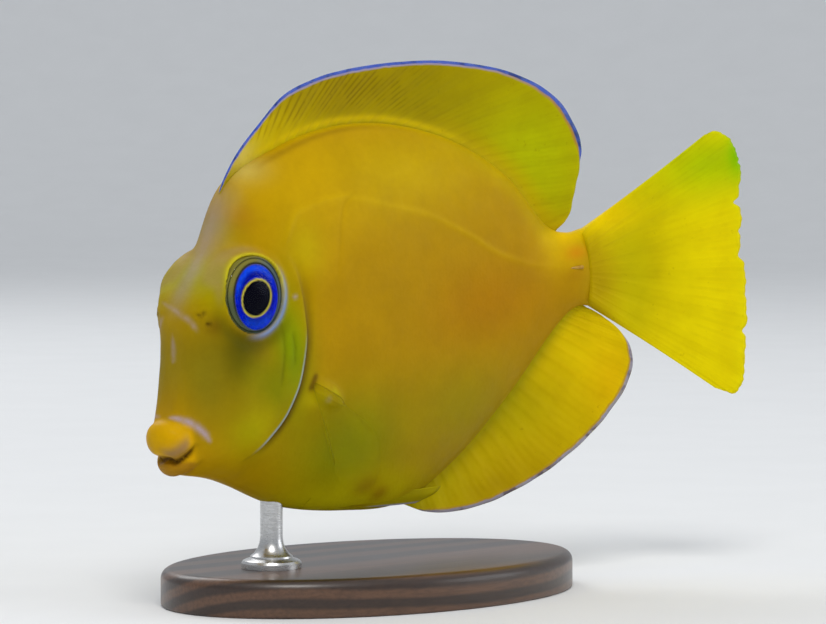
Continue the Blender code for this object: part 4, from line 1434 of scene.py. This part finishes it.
class TANG_OT_stand(bpy.types.Operator):
    """Build the display stand: an oval wooden base with a turned steel rod"""
    bl_idname = "tang.stand"
    bl_label = "Stand"

    def execute(self, context):
        settings = context.scene.tang_stand
        low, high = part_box("stand_base")
        centre = (low + high) / 2.0
        bm = bmesh.new()
        bmesh.ops.create_cone(bm, cap_ends=True, segments=160, radius1=0.5, radius2=0.5, depth=1.0)
        bmesh.ops.scale(bm, vec=high - low, verts=bm.verts)
        bmesh.ops.translate(bm, verts=bm.verts, vec=centre)
        for upper, width, steps in RIM_BEVELS:
            rim = [
                edge for edge in bm.edges if len(edge.link_faces) == 2
                and all((vertex.co.z > centre.z) == upper for vertex in edge.verts)
            ]
            bmesh.ops.bevel(
                bm, geom=rim, offset=width, segments=steps, profile=0.5, affect="EDGES", material=-1
            )
        for face in [face for face in bm.faces if len(face.verts) > 8]:
            bmesh.ops.inset_region(bm, faces=[face], thickness=0.0006)
        base = piece("stand_base_oval", bm, wood_finish(settings), ["stand_base"])
        base.data.set_sharp_from_angle(angle=math.radians(38.0))

        low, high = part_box("stand_rod")
        foot, length = (low + high) / 2.0, (high.z - low.z) / MM
        profile = ROD_FOOT + [(1.2, length - 1.0), (1.2, length + 0.6)]
        bm = turned([(radius * MM, height * MM) for radius, height in profile], 72)
        close_tube(bm, 1e-7)
        bmesh.ops.translate(bm, verts=bm.verts, vec=(foot.x, foot.y, low.z - ROD_SUNK))
        rod = piece("stand_rod_turned", bm, steel_finish(settings), ["stand_rod"])
        rod.data.set_sharp_from_angle(angle=math.radians(30.0))
        return {"FINISHED"}


def aim(obj, place_at, target):
    """Put a light or a camera in the scene and turn it to a point."""
    bpy.context.scene.collection.objects.link(obj)
    obj.location = place_at
    obj.rotation_euler = (Vector(target) - Vector(place_at)).to_track_quat("-Z", "Y").to_euler()


def area_light(name, place_at, size, power, colour):
    """A large soft light aimed at the fish."""
    light = bpy.data.lights.new(name, "AREA")
    light.shape = "DISK"
    light.size = size
    light.energy = power
    light.color = colour
    aim(bpy.data.objects.new(name, light), place_at, LIGHTS_AIM)


class TANG_OT_studio(bpy.types.Operator):
    """Build the pale floor, the soft lights and the camera"""
    bl_idname = "tang.studio"
    bl_label = "Studio"

    def execute(self, context):
        settings = context.scene.tang_studio
        finish, tree, shader = new_finish("pale_floor")
        grain = noise(tree, object_place(tree), 60.0, 3.0, 0.5, (0.3, 0.7))
        colour = mix(tree, grain, settings.floor, tuple(0.985 * value for value in settings.floor))
        fill(shader, {"Base Color": colour, "Roughness": 0.8, "Specular IOR Level": 0.2})
        profile = [(0.0, 0.0), (0.7, 0.0), (FLOOR_RADIUS, 0.0)]
        for step in range(1, COVE_STEPS + 1):
            turn = math.radians(90.0 * step / COVE_STEPS)
            out, up = math.sin(turn), 1.0 - math.cos(turn)
            profile.append((FLOOR_RADIUS + COVE_RADIUS * out, COVE_RADIUS * up))
        profile.append((1.8, 1.1))
        bm = turned(profile, 96)
        bmesh.ops.remove_doubles(bm, verts=bm.verts, dist=1e-6)
        bmesh.ops.recalc_face_normals(bm, faces=bm.faces)
        if sum(face.normal.z for face in bm.faces) < 0:
            bmesh.ops.reverse_faces(bm, faces=bm.faces)
        floor = object_of("floor", mesh_of("floor", bm))
        floor.data.shade_smooth()
        floor.data.materials.append(finish)

        world = bpy.data.worlds.new("soft_light")
        world.use_nodes = True
        fill(world.node_tree.nodes["Background"], {"Color": (0.93, 0.96, 1.0, 1.0), "Strength": 0.66})
        context.scene.view_settings.view_transform = "Standard"
        context.scene.world = world
        area_light("key", (-0.34, -0.42, 0.62), 0.32, settings.key, (1.0, 0.97, 0.92))
        area_light("fill", (0.55, -0.50, 0.22), 0.45, settings.fill, (0.94, 0.97, 1.0))
        area_light("back", (0.10, 0.60, 0.55), 0.40, settings.fill * 1.3, (1.0, 1.0, 1.0))

        toward = Vector((-math.sin(VIEW_TURN), -math.cos(VIEW_TURN), math.tan(VIEW_LIFT))).normalized()
        right = Vector((math.cos(VIEW_TURN), -math.sin(VIEW_TURN), 0.0))
        pivot = Vector(PIVOT)
        camera = bpy.data.objects.new("camera", bpy.data.cameras.new("camera"))
        aim(camera, pivot + toward * settings.distance, pivot + right * VIEW_SHIFT)
        camera.data.sensor_width = SENSOR_WIDTH
        camera.data.lens = FOCAL_PIXELS / PICTURE_WIDTH * SENSOR_WIDTH
        camera.data.clip_start = 0.01
        camera.data.clip_end = 20.0
        context.scene.camera = camera
        return {"FINISHED"}


class TANG_PT_panel(bpy.types.Panel):
    """Lists the pieces of the model"""
    bl_idname = "TANG_PT_panel"
    bl_label = "Blue tang"
    bl_space_type = "VIEW_3D"
    bl_region_type = "UI"
    bl_category = "Blue tang"

    def draw(self, context):
        for step in STEPS:
            self.layout.operator(step.bl_idname)
        for name in GROUPS:
            group = getattr(context.scene, name)
            box = self.layout.box()
            for key in group.__annotations__:
                box.prop(group, key)


GROUPS = {
    "tang_skin": SkinSettings,
    "tang_eyes": EyeSettings,
    "tang_fins": FinSettings,
    "tang_stand": StandSettings,
    "tang_studio": StudioSettings,
}
STEPS = [
    TANG_OT_skin, TANG_OT_eyes, TANG_OT_dorsal_fin, TANG_OT_anal_fin, TANG_OT_caudal_fin,
    TANG_OT_pectoral_fins, TANG_OT_pelvic_fins, TANG_OT_tail_spines, TANG_OT_stand, TANG_OT_studio,
]


def register():
    for kind in [*GROUPS.values(), *STEPS, TANG_PT_panel]:
        bpy.utils.register_class(kind)
    for name, kind in GROUPS.items():
        setattr(bpy.types.Scene, name, bpy.props.PointerProperty(type=kind))


def unregister():
    for name in GROUPS:
        delattr(bpy.types.Scene, name)
    for kind in reversed([*GROUPS.values(), *STEPS, TANG_PT_panel]):
        bpy.utils.unregister_class(kind)


def main():
    register()
    bpy.ops.tang.skin()
    bpy.ops.tang.eyes()
    bpy.ops.tang.dorsal_fin()
    bpy.ops.tang.anal_fin()
    bpy.ops.tang.caudal_fin()
    bpy.ops.tang.pectoral_fins()
    bpy.ops.tang.pelvic_fins()
    bpy.ops.tang.tail_spines()
    bpy.ops.tang.stand()
    bpy.ops.tang.studio()


if __name__ == "__main__":
    main()
